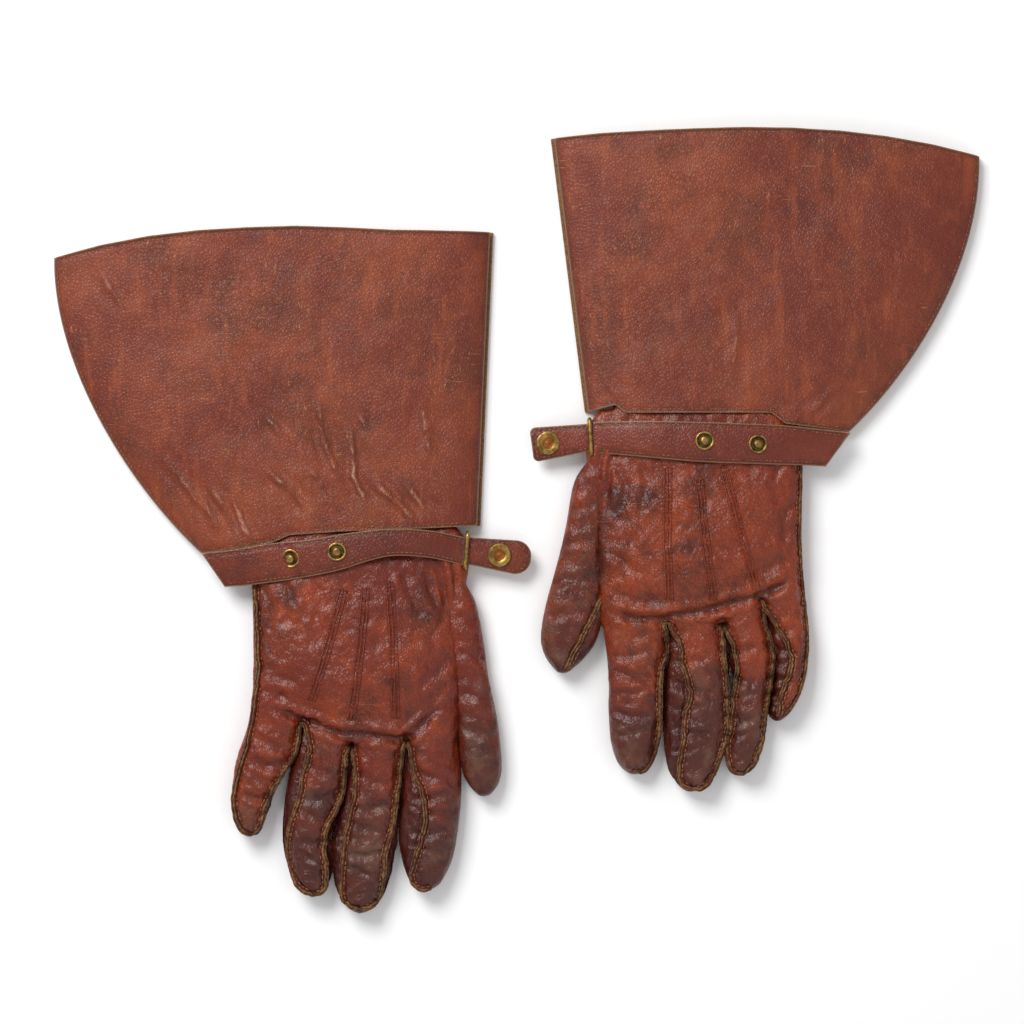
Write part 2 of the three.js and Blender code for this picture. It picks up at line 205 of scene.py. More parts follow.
def fingerSpace(side, name):
    # a finger's knuckle, direction, length and half width, all from the frame
    joint = joints[f"{side}_{name}_bend"]
    own = [node for key, node in nodes.items() if key.startswith(f"{side}_{name}_")]
    world = np.array([node.matrix_world @ v.co for node in own for v in node.data.vertices])
    local = toGlove(side, world)
    knuckle = toGlove(side, np.array(joint["pos_m"]))
    tip = local[np.argmax(np.hypot(*(local[:, :2] - knuckle[:2]).T))]
    axis = np.array(joint["axis"][:2]) / np.hypot(*joint["axis"][:2])
    along = np.array([axis[1] * gloveSpace[side]["mirror"], -axis[0]])
    along *= np.sign(along @ (tip - knuckle)[:2])
    across = np.array([-along[1], along[0]])
    reach = (local[:, :2] - knuckle[:2]) @ along
    spread = np.abs((local[:, :2] - knuckle[:2]) @ across)
    length = reach.max()
    radii = [spread[np.abs(reach - length * f) < length * 0.04].max() for f in (0.0, 1 / 3, 2 / 3)]
    return {"knuckle": knuckle, "along": along, "across": across, "length": length, "radii": radii}


fingers = {side: {name: fingerSpace(side, name) for name in fingerNames + ["thumb"]} for side in sides}


# forms of the soft pieces


def wrappedForm(name, rings):
    # a grid rolled into a tube through the rings, closed at both ends
    rings = np.asarray(rings)
    stations, around = rings.shape[:2]
    deselectAll()
    bpy.ops.mesh.primitive_grid_add(x_subdivisions=around, y_subdivisions=stations - 1)
    obj = bpy.context.object
    obj.name = name
    setPoints(obj, np.concatenate([rings, rings[:, :1]], axis=1).reshape(-1, 3))
    bpy.ops.object.mode_set(mode="EDIT")
    bpy.ops.mesh.select_all(action="SELECT")
    bpy.ops.mesh.remove_doubles(threshold=1e-6)
    bpy.ops.mesh.fill_holes(sides=0)
    bpy.ops.mesh.normals_make_consistent(inside=False)
    bpy.ops.object.mode_set(mode="OBJECT")
    return obj


def ovalRing(centre, halfWidth, top, bottom, square, around=40):
    # an oval with flattened sides, halfWidth is a flat vector, top and bottom are heights
    angle = np.linspace(0, 2 * np.pi, around, endpoint=False)
    c, s = np.cos(angle), np.sin(angle)
    x = np.sign(c) * np.abs(c) ** (2 / square)
    z = np.sign(s) * np.abs(s) ** (2 / square)
    height = np.where(z > 0, top * z, bottom * z)
    flat = np.asarray(centre[:2])[None, :] + x[:, None] * np.asarray(halfWidth)[None, :]
    return np.column_stack([flat, centre[2] + height])


handShape = {
    "right": {
        "ulnar": [(-52, 34), (-56.5, 4), (-56.4, -39), (-56, -62), (-57, -84)],
        "thumb": [(50, 34), (50, 4), (56.8, -22), (61, -51), (62, -97)],
        "knuckles": [
            (-61, -78), (-44, -80), (-28, -81), (-14, -89), (-2, -94), (14, -96), (31, -92), (62, -93),
        ],
        "tops": [3.6, 11, 13.5, 15, 11.5],
    },
    "left": {
        "ulnar": [(-51, 38), (-55.5, 4), (-55.2, -36), (-55.4, -56), (-56.4, -80)],
        "thumb": [(52, 38), (54, 4), (61, -24), (62.3, -50), (60, -92)],
        "knuckles": [
            (-59, -74), (-45, -77), (-31, -76), (-21, -85), (-10, -89), (7, -91), (22, -89), (60, -90),
        ],
        "tops": [3.6, 11, 13.5, 15, 11.5],
    },
}
palmMiddle = 8.5
skinMesh = {"voxel": 1.4, "smoothing": 4, "swell": 1.2}  # millimetres


def palmForm(side):
    shape = handShape[side]
    ulnar, thumb = smoothLine(shape["ulnar"], 20), smoothLine(shape["thumb"], 20)
    top = np.interp(np.linspace(0, 1, 21), np.linspace(0, 1, 5), shape["tops"])
    line = np.array(shape["knuckles"], float)
    rings = []
    for i, v in enumerate(np.linspace(0, 1, 21)):
        centre = [(ulnar[i, 0] + thumb[i, 0]) / 2, 0, palmMiddle]
        under = np.interp(v, [0, 0.16, 0.3], [2.8, 3.6, palmMiddle - 1])
        ring = ovalRing(centre, [(thumb[i, 0] - ulnar[i, 0]) / 2, 0], top[i], under, 2.7)
        end = np.interp(ring[:, 0], line[:, 0], line[:, 1])
        ring[:, 1] = (1 - v) * ulnar[0, 1] + v * end
        rings.append(toWorld(side, ring))
    for reach, shrink in ((2, 0.86), (3.2, 0.6)):
        nose = ring.copy()
        nose[:, 1] -= reach
        nose[:, 2] = palmMiddle + (ring[:, 2] - palmMiddle) * shrink
        rings.append(toWorld(side, nose))
    return wrappedForm("palm", rings)


# finger edges from the root to the tip, in glove millimetres
fingerShape = {
    "right": {
        "index": {
            "inner": [
                (32, -100), (29.5, -117), (28, -132), (27, -154), (28.5, -165), (31, -174), (35, -181),
                (42.5, -185),
            ],
            "outer": [
                (62, -97), (63.5, -114), (63.5, -132), (61.5, -150), (59, -164), (55, -174), (50, -181),
                (42.5, -185),
            ],
        },
        "middle": {
            "inner": [
                (0, -103), (-1.5, -115), (-5, -130), (-9, -145), (-11, -155), (-11.5, -168), (-9, -184),
                (-4, -193), (4, -197),
            ],
            "outer": [
                (31, -100), (29, -115), (27.5, -132), (26, -154), (24, -168), (21.5, -179), (18, -188),
                (12, -195), (4, -197),
            ],
        },
        "ring": {
            "inner": [
                (-28, -88), (-32, -98), (-35.5, -112), (-39, -130), (-40.5, -150), (-39, -165), (-34, -178),
                (-29, -185), (-22, -188),
            ],
            "outer": [
                (-1.5, -103), (-3, -115), (-4.5, -126), (-8, -141), (-11.5, -154), (-12, -167), (-12, -176),
                (-16, -184), (-22, -188),
            ],
        },
        "little": {
            "inner": [
                (-59, -80), (-61, -90), (-65, -102), (-68.5, -116), (-70, -131), (-69, -142), (-65, -150),
                (-59, -153),
            ],
            "outer": [
                (-29.5, -87), (-30.5, -98), (-33, -107), (-38, -116), (-44.5, -127), (-48.5, -138),
                (-53, -148), (-59, -153),
            ],
        },
    },
    "left": {
        "index": {
            "inner": [
                (22, -94), (22.5, -108), (24, -126), (25, -143), (26, -158), (28, -167), (31.5, -174),
                (36, -179), (42, -180),
            ],
            "outer": [
                (60, -90), (57.5, -108), (56, -126), (56, -143), (55, -160), (52, -171), (48, -177),
                (42, -180),
            ],
        },
        "middle": {
            "inner": [
                (-9.5, -94), (-13, -108), (-14.5, -131), (-14.5, -149), (-13, -163), (-9.5, -173),
                (-6.5, -179), (-1, -187), (8, -190),
            ],
            "outer": [
                (21, -94), (22, -114), (24, -131), (24.5, -149), (24, -163), (22, -175), (18.5, -182),
                (14, -188), (8, -190),
            ],
        },
        "ring": {
            "inner": [
                (-32, -82), (-36.5, -97), (-39.5, -112), (-39.5, -126), (-37, -141), (-35, -155), (-33, -165),
                (-28, -175), (-22, -181),
            ],
            "outer": [
                (-10.5, -94), (-15, -114), (-15.5, -137), (-14, -160), (-12, -168), (-12, -174), (-15, -180),
                (-22, -181),
            ],
        },
        "little": {
            "inner": [
                (-57, -76), (-60, -97), (-60.5, -108), (-59, -123), (-55.5, -134), (-51.5, -142), (-47, -147),
                (-42, -149),
            ],
            "outer": [
                (-33, -82), (-37.5, -97), (-40.5, -111), (-40, -126), (-38, -137), (-37, -144), (-38.5, -148),
                (-42, -149),
            ],
        },
    },
}
fingerTops = [10.5, 10, 9.5, 9.2, 9, 8.8, 8.5, 8, 7.5, 6]


def edgedForm(side, name, inner, outer, tops, middle, square=2.3, rootReach=0.0):
    # a flattened tube between two edge lines
    steps = 34
    inner, outer = smoothLine(inner, steps), smoothLine(outer, steps)
    heights = np.interp(np.linspace(0, 1, steps + 1), np.linspace(0, 1, len(tops)), tops)
    heights = np.maximum(heights, 2.6)
    rings = []
    for i, (n, o, height) in enumerate(zip(inner, outer, heights)):
        half = (o - n) / 2
        width = max(np.hypot(*half), 0.01)
        slim = max(width - skinMesh["swell"], 1.6) / width
        centre = [*(o + n) / 2, middle]
        if i == 0 and rootReach:
            back = (inner[0] + outer[0] - inner[2] - outer[2]) / 2
            back *= rootReach / np.hypot(*back)
            rings.append(toWorld(
                side, ovalRing([*(centre[:2] + back), middle], half * slim, height, middle - 1, square),
            ))
        rings.append(toWorld(side, ovalRing(centre, half * slim, height, min(height, middle - 1), square)))
    return wrappedForm(name, rings)


def fingerForm(side, name):
    shape = fingerShape[side][name]
    return edgedForm(side, name, shape["inner"], shape["outer"], fingerTops, palmMiddle, 2.3, 16)


def remeshed(obj, voxel, smoothing, swell):
    # one closed skin, then swelled, so that neighbouring fingers touch without growing together
    applyModifier(obj, "REMESH", mode="VOXEL", voxel_size=voxel * mm)
    applyModifier(obj, "SMOOTH", factor=0.5, iterations=smoothing)
    setPoints(obj, pointsOf(obj) + normalsOf(obj) * swell * mm)
    applyModifier(obj, "SUBSURF", levels=1, render_levels=1)
    shadeSmooth(obj)
    return obj


# leather gathered under the loop, between the cuff's corner and the thumb
gatherShape = {
    "right": {
        "inner": [(40, 26), (42, 8), (46, -18), (52, -30)],
        "outer": [(61, 26), (68, 14), (66, -8), (58, -30)],
    },
    "left": {
        "inner": [(40, 30), (42, 8), (46, -18), (52, -30)],
        "outer": [(62, 30), (70, 16), (66, -8), (58, -30)],
    },
}
gatherTops = [2.2, 6.5, 6.5, 3]


def gatherForm(side):
    shape = gatherShape[side]
    return edgedForm(side, "gather", shape["inner"], shape["outer"], gatherTops, palmMiddle)


hands = {}
for side in sides:
    parts = [palmForm(side), gatherForm(side)] + [fingerForm(side, name) for name in fingerNames]
    hands[side] = remeshed(joinAll(side + "_hand_skin", parts), **skinMesh)
    print(side, "hand skin:", len(hands[side].data.polygons), "faces")

# thumbs: edges as (across, along) pairs from the wrist to the tip
thumbShape = {
    "right": {
        "outer": [
            (62, 4), (66.5, -8), (72, -18), (76.5, -40), (79.5, -62), (84.5, -86), (87, -110), (85.5, -122),
            (80, -129),
        ],
        "inner": [
            (52, 4), (52, -8), (53, -18), (55, -40), (57, -62), (60, -86), (62.5, -108), (66, -121),
            (73, -129),
        ],
        "tops": [4, 6, 6.6, 7, 7.2, 8, 8.6, 7.4, 5.5],
    },
    "left": {
        "outer": [
            (66, 4), (73, -6), (77, -14), (81.5, -40), (87, -62), (93, -84), (95.5, -101), (93, -112),
            (86, -121),
        ],
        "inner": [
            (54, 4), (55, -6), (56, -14), (57, -40), (58, -62), (59, -84), (62, -101), (69, -112), (79, -121),
        ],
        "tops": [4, 6, 6.6, 7, 7.2, 8, 8.6, 7.4, 5.5],
    },
}
thumbMiddle = 8


def thumbForm(side):
    shape = thumbShape[side]
    return edgedForm(side, "thumb", shape["inner"], shape["outer"], shape["tops"], thumbMiddle)


thumbs = {side: remeshed(thumbForm(side), **skinMesh) for side in sides}
for side, obj in thumbs.items():
    obj.name = side + "_thumb_skin"

# folds, pulled seams and puffed panels of the skins

# a stroke is a line in glove millimetres with a width and a depth; below zero it stands up
strokes = {
    "right": [
        (
            [(-50, -77), (-39, -81), (-20, -88), (-7, -93), (10, -94), (25, -96), (35, -94), (55, -74)], 2.3,
            1.9,
        ),
        ([(-48, -70), (-30, -77), (-10, -84), (12, -86)], 3.6, 0.8),
        ([(30, -86), (44, -78), (57, -62)], 3.2, 1.0),
        ([(38, -66), (48, -60), (58, -46)], 2.8, 0.8),
        ([(44, -40), (52, -30), (54, -16)], 2.2, 0.8),
        ([(-52, -8), (-46, -20), (-47, -36)], 2.2, 0.9),
        ([(-38, -4), (-34, -16), (-37, -30)], 2.0, 0.7),
        ([(-22, -2), (-17, -16), (-22, -28)], 2.0, 0.6),
        ([(30, 2), (34, -14), (42, -26)], 2.2, 0.8),
        ([(42, 2), (46, -12), (51, -22)], 1.8, 0.8),
        ([(48, 12), (53, -4), (55, -20)], 1.7, 1.1),
        ([(56, 14), (60, 0), (61, -12)], 1.5, 1.0),
        ([(-56, -50), (-44, -60), (-30, -64)], 2.6, 0.7),
        ([(-57, -66), (-46, -70), (-36, -72)], 2.2, 0.6),
    ],
    "left": [
        ([(58, -86), (42, -90), (26, -90), (3, -86), (-20, -80), (-38, -74), (-55, -65)], 2.4, 1.9),
        ([(54, -74), (40, -80), (20, -80)], 3.2, 0.9),
        ([(-48, -54), (-34, -62), (-20, -68)], 3.0, 0.8),
        ([(-53, -20), (-44, -34), (-46, -48)], 2.4, 0.8),
        ([(58, -24), (46, -34), (42, -52)], 3.0, 0.7),
        ([(52, 0), (46, -14), (50, -30)], 2.0, 0.9),
        ([(50, 14), (55, -2), (58, -22)], 1.7, 1.1),
        ([(58, 16), (61, 2), (62, -12)], 1.5, 1.0),
        ([(38, 0), (34, -12), (38, -26)], 2.0, 0.6),
        ([(-44, 0), (-38, -12), (-42, -26)], 2.0, 0.7),
        ([(-16, 0), (-20, -14), (-16, -26)], 2.0, 0.5),
        ([(58, -50), (46, -58), (38, -66)], 2.4, 0.8),
    ],
}
# folds across the fingers: (share of the length, slant, width, depth)
fingerFolds = [
    (0.2, 0.3, 2.4, 0.9), (0.36, -0.35, 2.6, 1.3), (0.47, 0.25, 1.8, 0.7), (0.62, -0.2, 2.2, 1.1),
    (0.73, 0.3, 1.6, 0.6),
]
thumbFoldsAt = [0.12, 0.3, 0.5, 0.68]
# out-seams in glove millimetres, each from a crotch to a finger's tip
seamLines = {
    "right": {
        "index_inner": [
            (31.5, -98), (34.5, -102), (36.5, -112), (38.5, -120), (42, -129), (43, -141), (41.5, -152),
            (38, -164), (35.5, -176), (38.5, -182), (46, -183),
        ],
        "middle_outer": [
            (31.5, -98), (29, -102), (27.5, -112), (25.5, -126), (24, -141), (21, -155), (18.5, -167),
            (17.5, -178), (15, -188), (10.5, -193.5), (4.5, -195),
        ],
        "middle_inner": [
            (-1, -100.5), (1.5, -104), (3, -114), (3, -126), (0.5, -137), (-2, -149), (-4, -161), (-5, -175),
            (-5, -187), (-1.5, -192.5), (4, -195),
        ],
        "ring_outer": [
            (-1, -100.5), (-4, -104), (-5, -114), (-6, -127), (-10, -137), (-15, -147), (-16.5, -158),
            (-15.5, -170), (-15.5, -180), (-18, -185), (-22, -186),
        ],
        "ring_inner": [
            (-28.5, -87), (-25.5, -91), (-23.5, -100), (-25, -109), (-27.5, -118), (-29, -129), (-33, -141),
            (-36, -153), (-36, -165), (-32.5, -178), (-28, -184), (-22.5, -186),
        ],
        "little_outer": [
            (-28.5, -87), (-31, -90.5), (-32.5, -100), (-34.5, -106), (-39.5, -114), (-45.5, -124),
            (-50.5, -135), (-53, -145), (-56, -150), (-59, -151.5),
        ],
    },
    "left": {
        "index_inner": [
            (22, -92), (23.5, -98), (22.5, -108), (25.5, -117), (27, -126), (27, -137), (27, -148),
            (28.5, -160), (31.5, -172), (36, -177.5), (42, -178.5),
        ],
        "middle_outer": [
            (22, -92), (17.5, -98), (14, -105), (12.5, -117), (10, -126), (8.5, -136), (11, -146), (12, -160),
            (14, -172), (14, -183), (11.5, -187), (8, -188.5),
        ],
        "middle_inner": [
            (-10, -93), (-9, -102), (-10, -114), (-11.5, -126), (-12, -137), (-12, -152), (-10, -163),
            (-6.5, -174), (-1.5, -184), (3, -188), (8, -188.5),
        ],
        "ring_outer": [
            (-10, -93), (-14.5, -100), (-17.5, -108), (-19, -117), (-18.5, -126), (-17, -137), (-16, -152),
            (-14, -163), (-14, -173), (-17, -178), (-22, -179.5),
        ],
        "ring_inner": [
            (-31.5, -79.5), (-33, -91), (-36, -100), (-38, -109), (-38, -120), (-36, -132), (-34, -144),
            (-33, -155), (-31, -165), (-27.5, -174), (-22.5, -179.5),
        ],
        "little_outer": [
            (-31.5, -79.5), (-39, -89), (-44, -97), (-48, -106), (-50, -115), (-47.5, -126), (-44, -137),
            (-42, -147),
        ],
    },
}
crotches = [("index_inner", "middle_outer"), ("middle_inner", "ring_outer"), ("ring_inner", "little_outer")]
thumbSeam = {"left": [(59, -74), (61, -79), (69, -96), (75, -108), (78.5, -115), (82, -120)]}
pointLines = {
    "right": [
        [(-4.5, -10), (-13, -42), (-23, -74)], [(8.5, -9), (5, -46), (0, -85)],
        [(22, -5), (24.5, -44), (25.6, -84)],
    ],
    "left": [
        [(22, -3), (22.4, -40), (21.4, -79)], [(4, -10), (0.5, -44), (-4, -79)],
        [(-10, -2), (-19, -38), (-29, -73)],
    ],
}
sideSeam = {
    "right": [
        (-56, 0), (-55, -20), (-54, -40), (-54, -62), (-57, -85), (-60, -100), (-64.5, -114), (-67.5, -129),
        (-67, -141), (-63.5, -149), (-59.5, -151.5),
    ],
    "left": [
        (-55, 2), (-54.5, -20), (-54, -40), (-55, -60), (-57, -80), (-58.5, -97), (-58.5, -110),
        (-56.5, -124), (-52, -137), (-45, -147),
    ],
}


def fingerPoint(side, name, share, width):
    f = fingers[side][name]
    r = np.interp(share, [0, 1 / 3, 2 / 3, 1], [*f["radii"], f["radii"][2]])
    toThumb = f["across"] * np.sign(f["across"][0])
    return f["knuckle"][:2] + f["along"] * f["length"] * share + toThumb * width * r


def roundedTop(line, width=1.9):
    # a seam leaves its crotch sideways first, so that two of them make an arch
    (ax, ay), (bx, _) = line[:2]
    way = math.copysign(1, bx - ax)
    return [(ax, ay), (ax + way * width * 0.7, ay - 0.5), (ax + way * width * 1.25, ay - 2.2), *line[1:]]


def insideOf(xy, outline):
    # which points lie inside a closed outline
    inside = np.zeros(len(xy), bool)
    for (ax, ay), (bx, by) in zip(outline, outline[1:] + outline[:1]):
        if ay != by:
            crosses = (ay > xy[:, 1]) != (by > xy[:, 1])
            inside ^= crosses & (xy[:, 0] < (bx - ax) * (xy[:, 1] - ay) / (by - ay) + ax)
    return inside


# darkFrom to darkTo is where painted shade fills the slot floors
slot = {"drop": 5.0, "wall": 2.4, "darkFrom": 0.2, "darkTo": 1.3}  # millimetres, valleys between fingers
# how far folds wander, how deep and wide seams pull, puckers beside them, puff and fine creases, in millimetres
skinFolds = {
    "wander": 0.8, "rim": 0.45, "seamPull": 0.9, "seamWidth": 2.2, "seamPuff": 0.35, "puffAt": 5, "puffWidth": 2.5,
    "pucker": 0.6, "puckerReach": 5, "handPuff": 1.25, "thumbPuff": 1.2, "grain": 0.45, "floor": 0.3,
}


def foldSkin(obj, side, lines, seams, pairs, puff, grain, seed):
    # pushes the leather in along folds and seams and lets it puff between them
    co, no = pointsOf(obj), normalsOf(obj)
    local = toGlove(side, co)
    xy = local[:, :2]
    facing = smoothstep(-0.1, 0.5, no[:, 2])
    push = np.zeros(len(co))
    # the stored fold shading is painted: shade in fold valleys and along seams, a warm highlight on the puffed
    # rims
    fold = np.zeros(len(co))
    t = skinFolds
    wander = noiseAt(local, 0.16, seed + 5) * t["wander"]
    for line, width, depth in lines:
        gap, along = lineDistance(xy, line)
        gap = np.abs(gap + wander)
        fade = smoothstep(0, 0.12, along) * smoothstep(0, 0.12, 1 - along)
        valley = np.exp(-((gap / width) ** 2)) * fade
        rim = np.exp(-(((gap - 2.1 * width) / (1.1 * width)) ** 2)) * fade
        push -= depth * (valley - t["rim"] * rim)
        fold -= depth * (valley - 0.35 * rim) * 0.6
    for line in seams:
        gap, along = lineDistance(xy, line)
        push -= t["seamPull"] * np.exp(-((gap / t["seamWidth"]) ** 2))
        push += t["seamPuff"] * np.exp(-(((gap - t["puffAt"]) / t["puffWidth"]) ** 2))
        fold -= 0.7 * np.exp(-((gap / 1.7) ** 2))
        # short puckers that run off the seam
        pucker = noiseAt(local * [1, 1, 0.4], 0.42, seed + 9, 2)
        push += t["pucker"] * pucker * np.exp(-((gap / t["puckerReach"]) ** 2))
    broad = noiseAt(local, 0.055, seed)
    medium = noiseAt(local * [1, 0.7, 1], 0.17, seed + 2)
    # fine creases are where a noise crosses zero
    fine = noiseAt(local * [1, 1.4, 1], 0.24, seed + 3, 2)
    crease = np.exp(-((fine / 0.055) ** 2))
    crease *= smoothstep(0.0, 0.5, noiseAt(local, 0.06, seed + 7, 2))
    push += puff * broad + 0.3 * puff * medium - grain * crease
    fold += 0.3 * medium - 0.4 * crease * (grain > 0)
    moved = co + no * (push * facing * mm)[:, None]
    gusset = np.zeros(len(co))
    for one, other in pairs:
        outline = list(one) + list(other)[::-1]
        inside = insideOf(xy, outline)
        gap = np.minimum(lineDistance(xy, one)[0], lineDistance(xy, other)[0]) * inside
        moved[:, 2] -= slot["drop"] * mm * smoothstep(0, slot["wall"], gap) * facing
        # painted shade on the slot floor, deepest away from both seams
        gusset = np.maximum(gusset, smoothstep(slot["darkFrom"], slot["darkTo"], gap))
    moved[:, 2] = np.maximum(moved[:, 2], t["floor"] * mm)
    setPoints(obj, moved)
    storeValue(obj, "fold", fold * facing)
    storeValue(obj, "gusset", gusset)
    return obj


def fingerStrokes(side, name):
    f = fingers[side][name]
    lines = []
    for i, (share, slant, width, depth) in enumerate(fingerFolds):
        share += 0.02 * math.sin(7 * i + 3 * len(name) + (side == "left"))
        ends = [
            fingerPoint(side, name, share - slant * 0.1, -0.8),
            fingerPoint(side, name, share + slant * 0.1, 0.8),
        ]
        middle = fingerPoint(side, name, share + 0.02, 0)
        lines.append(([tuple(ends[0]), tuple(middle), tuple(ends[1])], width, depth))
    return lines


for side in sides:
    seamLines[side] = {leg: roundedTop(line) for leg, line in seamLines[side].items()}
    lines = strokes[side] + [line for name in fingerNames for line in fingerStrokes(side, name)]
    seams = seamLines[side]
    pairs = [(seams[one], seams[other]) for one, other in crotches]
    t = skinFolds
    pulled = [*seams.values(), sideSeam[side]]
    foldSkin(hands[side], side, lines, pulled, pairs, t["handPuff"], t["grain"], 3.0 * sides[side])
    thumbFolds = []
    for share in thumbFoldsAt:
        a, b = fingerPoint(side, "thumb", share - 0.03, -1), fingerPoint(side, "thumb", share + 0.03, 1)
        thumbFolds.append(([tuple(a), tuple(b)], 2.4, 0.8))
    thumbSeams = [thumbSeam[side]] if side in thumbSeam else []
    foldSkin(thumbs[side], side, thumbFolds, thumbSeams, [], t["thumbPuff"], t["grain"], 11.0 * sides[side])
    print(side, "skins folded")


# a piece at the bottom of each crotch, between the finger roots, coloured as painted shade where the slot goes
# deep
webShape = {"halfWidth": 3.6, "above": 3.0, "below": 20.0, "low": 1.5, "high": 8.5}


def webForm(side, name, one, other):
    apex = np.array(one[0], float)
    far = (np.array(one[5], float) + np.array(other[5], float)) / 2
    along = (far - apex) / np.linalg.norm(far - apex)
    across = np.array([-along[1], along[0]])
    t = webShape
    middle, half = (t["low"] + t["high"]) / 2, (t["high"] - t["low"]) / 2
    rings = []
    for k in np.linspace(0, 1, 12):
        size = math.sqrt(max(0.02, 1 - (2 * k - 1) ** 4))
        centre = [*(apex + along * (t["below"] * k - t["above"] * (1 - k))), middle]
        rings.append(toWorld(
            side, ovalRing(centre, across * t["halfWidth"] * size, half * size, half * size, 2.2, 16),
        ))
    web = wrappedForm(name, rings)
    applyModifier(web, "SUBSURF", levels=1, render_levels=1)
    shadeSmooth(web)
    return web


webs = {}
for side in sides:
    legs = seamLines[side]
    made = [webForm(side, f"{side}_web", legs[one], legs[other]) for one, other in crotches]
    webs[side] = joinAll(f"{side}_finger_webs", made)
print("webs made")

# sewn pieces made along a path: seams, ribs, stitches, wire


def swept(name, path, ups, section, closed=False):
    # a section of (sideways, up) millimetres carried along a path; a closed path joins its ends
    path, ups = np.asarray(path, float), np.asarray(ups, float)
    ahead = np.roll(path, -1, axis=0) - np.roll(path, 1, axis=0)
    if not closed:
        ahead[0], ahead[-1] = path[1] - path[0], path[-1] - path[-2]
    side = np.cross(ahead, ups)
    side /= np.linalg.norm(side, axis=1)[:, None]
    up = np.cross(side, ahead)
    up /= np.linalg.norm(up, axis=1)[:, None]
    section = np.asarray(section, float) * mm
    if section.ndim == 2:
        section = np.repeat(section[None], len(path), axis=0)
    rings = path[:, None] + section[:, :, :1] * side[:, None] + section[:, :, 1:] * up[:, None]
    if closed:
        rings = np.concatenate([rings, rings[:1]])
    return wrappedForm(name, rings)


def treeOf(*objs):
    points, faces = [], []
    for obj in objs:
        start = len(points)
        points += [tuple(p) for p in pointsOf(obj)]
        faces += [[start + i for i in face.vertices] for face in obj.data.polygons]
    return BVHTree.FromPolygons(points, faces)


def drapedPath(side, tree, line, step, smoothing=2):
    # a smooth line in glove millimetres, dropped onto a surface: its points and the normals there
    line = np.asarray(line, float)
    length = np.hypot(*np.diff(line, axis=0).T).sum()
    flat = smoothLine(line, max(4, int(length / step)))
    world = toWorld(side, np.column_stack([flat, np.zeros(len(flat))]))
    points, normals = [], []
    for x, y, _ in world:
        hit, normal, _, _ = tree.ray_cast(Vector((x, y, 0.1)), Vector((0, 0, -1)))
        if hit is None:
            hit, normal = Vector((x, y, points[-1][2] if points else 8 * mm)), Vector((0, 0, 1))
        points.append(list(hit))
        normals.append(list(normal))
    points, normals = np.array(points), np.array(normals)
    for _ in range(smoothing):
        points[1:-1, 2] = (points[:-2, 2] + 2 * points[1:-1, 2] + points[2:, 2]) / 4
        normals[1:-1] = (normals[:-2] + 2 * normals[1:-1] + normals[2:]) / 4
    return points, normals / np.linalg.norm(normals, axis=1)[:, None]


# two leather edges back to back, as (sideways, up) millimetres
seamSection = [
    (-1.0, -1.4), (-1.05, 0.9), (-0.85, 1.35), (-0.3, 1.4), (-0.05, 0.75), (0.05, 0.75), (0.3, 1.4),
    (0.85, 1.35), (1.05, 0.9), (1.0, -1.4),
]
seam = {"step": 1.1, "waver": 0.22, "size": 1.28, "stitchPitch": 3.0, "stitchLength": 1.9, "thread": 0.33}


def seamRidge(name, points, normals, seed=0.0, size=1.0):
    lean = normals * [1, 1, 0.7] + np.array([0, 0, 0.45])
    wave = noiseAt(points, 190, seed, 2)
    section = np.repeat(np.array(seamSection)[None], len(points), axis=0) * size
    section[:, :, 0] += (wave * seam["waver"])[:, None]
    section[:, :, 1] *= (1 + 0.35 * noiseAt(points, 240, seed + 4, 2))[:, None]
    ends = np.minimum(np.arange(len(points)), np.arange(len(points))[::-1])
    section *= np.clip(0.45 + ends * 0.2, 0, 1)[:, None, None]
    ridge = swept(name, points, lean, section)
    around = len(seamSection)
    height = np.tile([max(0.0, h) for _, h in seamSection], len(points))
    raw = np.zeros(len(ridge.data.vertices))
    raw[: len(height)] = np.clip((height - 0.7) / 0.6, 0, 1)[: len(raw)]
    storeValue(ridge, "raw", raw)
    shadeSmooth(ridge, 50)
    return ridge


def threadPiece(size):
    # one stitch, a bent rod of thread along x with its ends going down
    bend = np.linspace(-1, 1, 6)
    path = np.column_stack([
        bend * seam["stitchLength"] / 2, 0 * bend, size * 0.55 * (1 - bend**4 * 1.9),
    ]) * mm
    ring = [(size * math.cos(a), size * math.sin(a)) for a in np.linspace(0, 2 * np.pi, 6, endpoint=False)]
    return swept("stitch", path, np.tile([0, 0, 1.0], (6, 1)), ring)


def stitchRow(name, points, normals, offset=0.0, lift=0.0, pitch=3.0, size=0.33, stretch=1.0):
    # copies of one stitch set at even steps along a draped path, offset sideways
    one = threadPiece(size)
    shape = pointsOf(one) * [stretch, 1, 1]
    faces = [list(face.vertices) for face in one.data.polygons]
    bpy.data.objects.remove(one)
    ahead = np.gradient(points, axis=0)
    ahead /= np.linalg.norm(ahead, axis=1)[:, None]
    sideways = np.cross(ahead, normals)
    sideways /= np.linalg.norm(sideways, axis=1)[:, None]
    line = points + sideways * offset * mm + normals * lift * mm
    run = np.concatenate([[0], np.cumsum(np.linalg.norm(np.diff(line, axis=0), axis=1))])
    verts, polys = [], []
    for at in np.arange(pitch * 0.5 * mm, run[-1] - pitch * 0.3 * mm, pitch * mm):
        spot = np.array([np.interp(at, run, line[:, k]) for k in range(3)])
        i = min(int(np.searchsorted(run, at)), len(line) - 1)
        turn = np.stack([ahead[i], np.cross(normals[i], ahead[i]), normals[i]])
        start = len(verts)
        verts += list(shape @ turn + spot)
        polys += [[start + k for k in face] for face in faces]
    mesh = bpy.data.meshes.new(name)
    mesh.from_pydata([tuple(v) for v in verts], [], polys)
    obj = newObject(name, mesh)
    shadeSmooth(obj)
    return obj


# seams, points and stitches of the hands



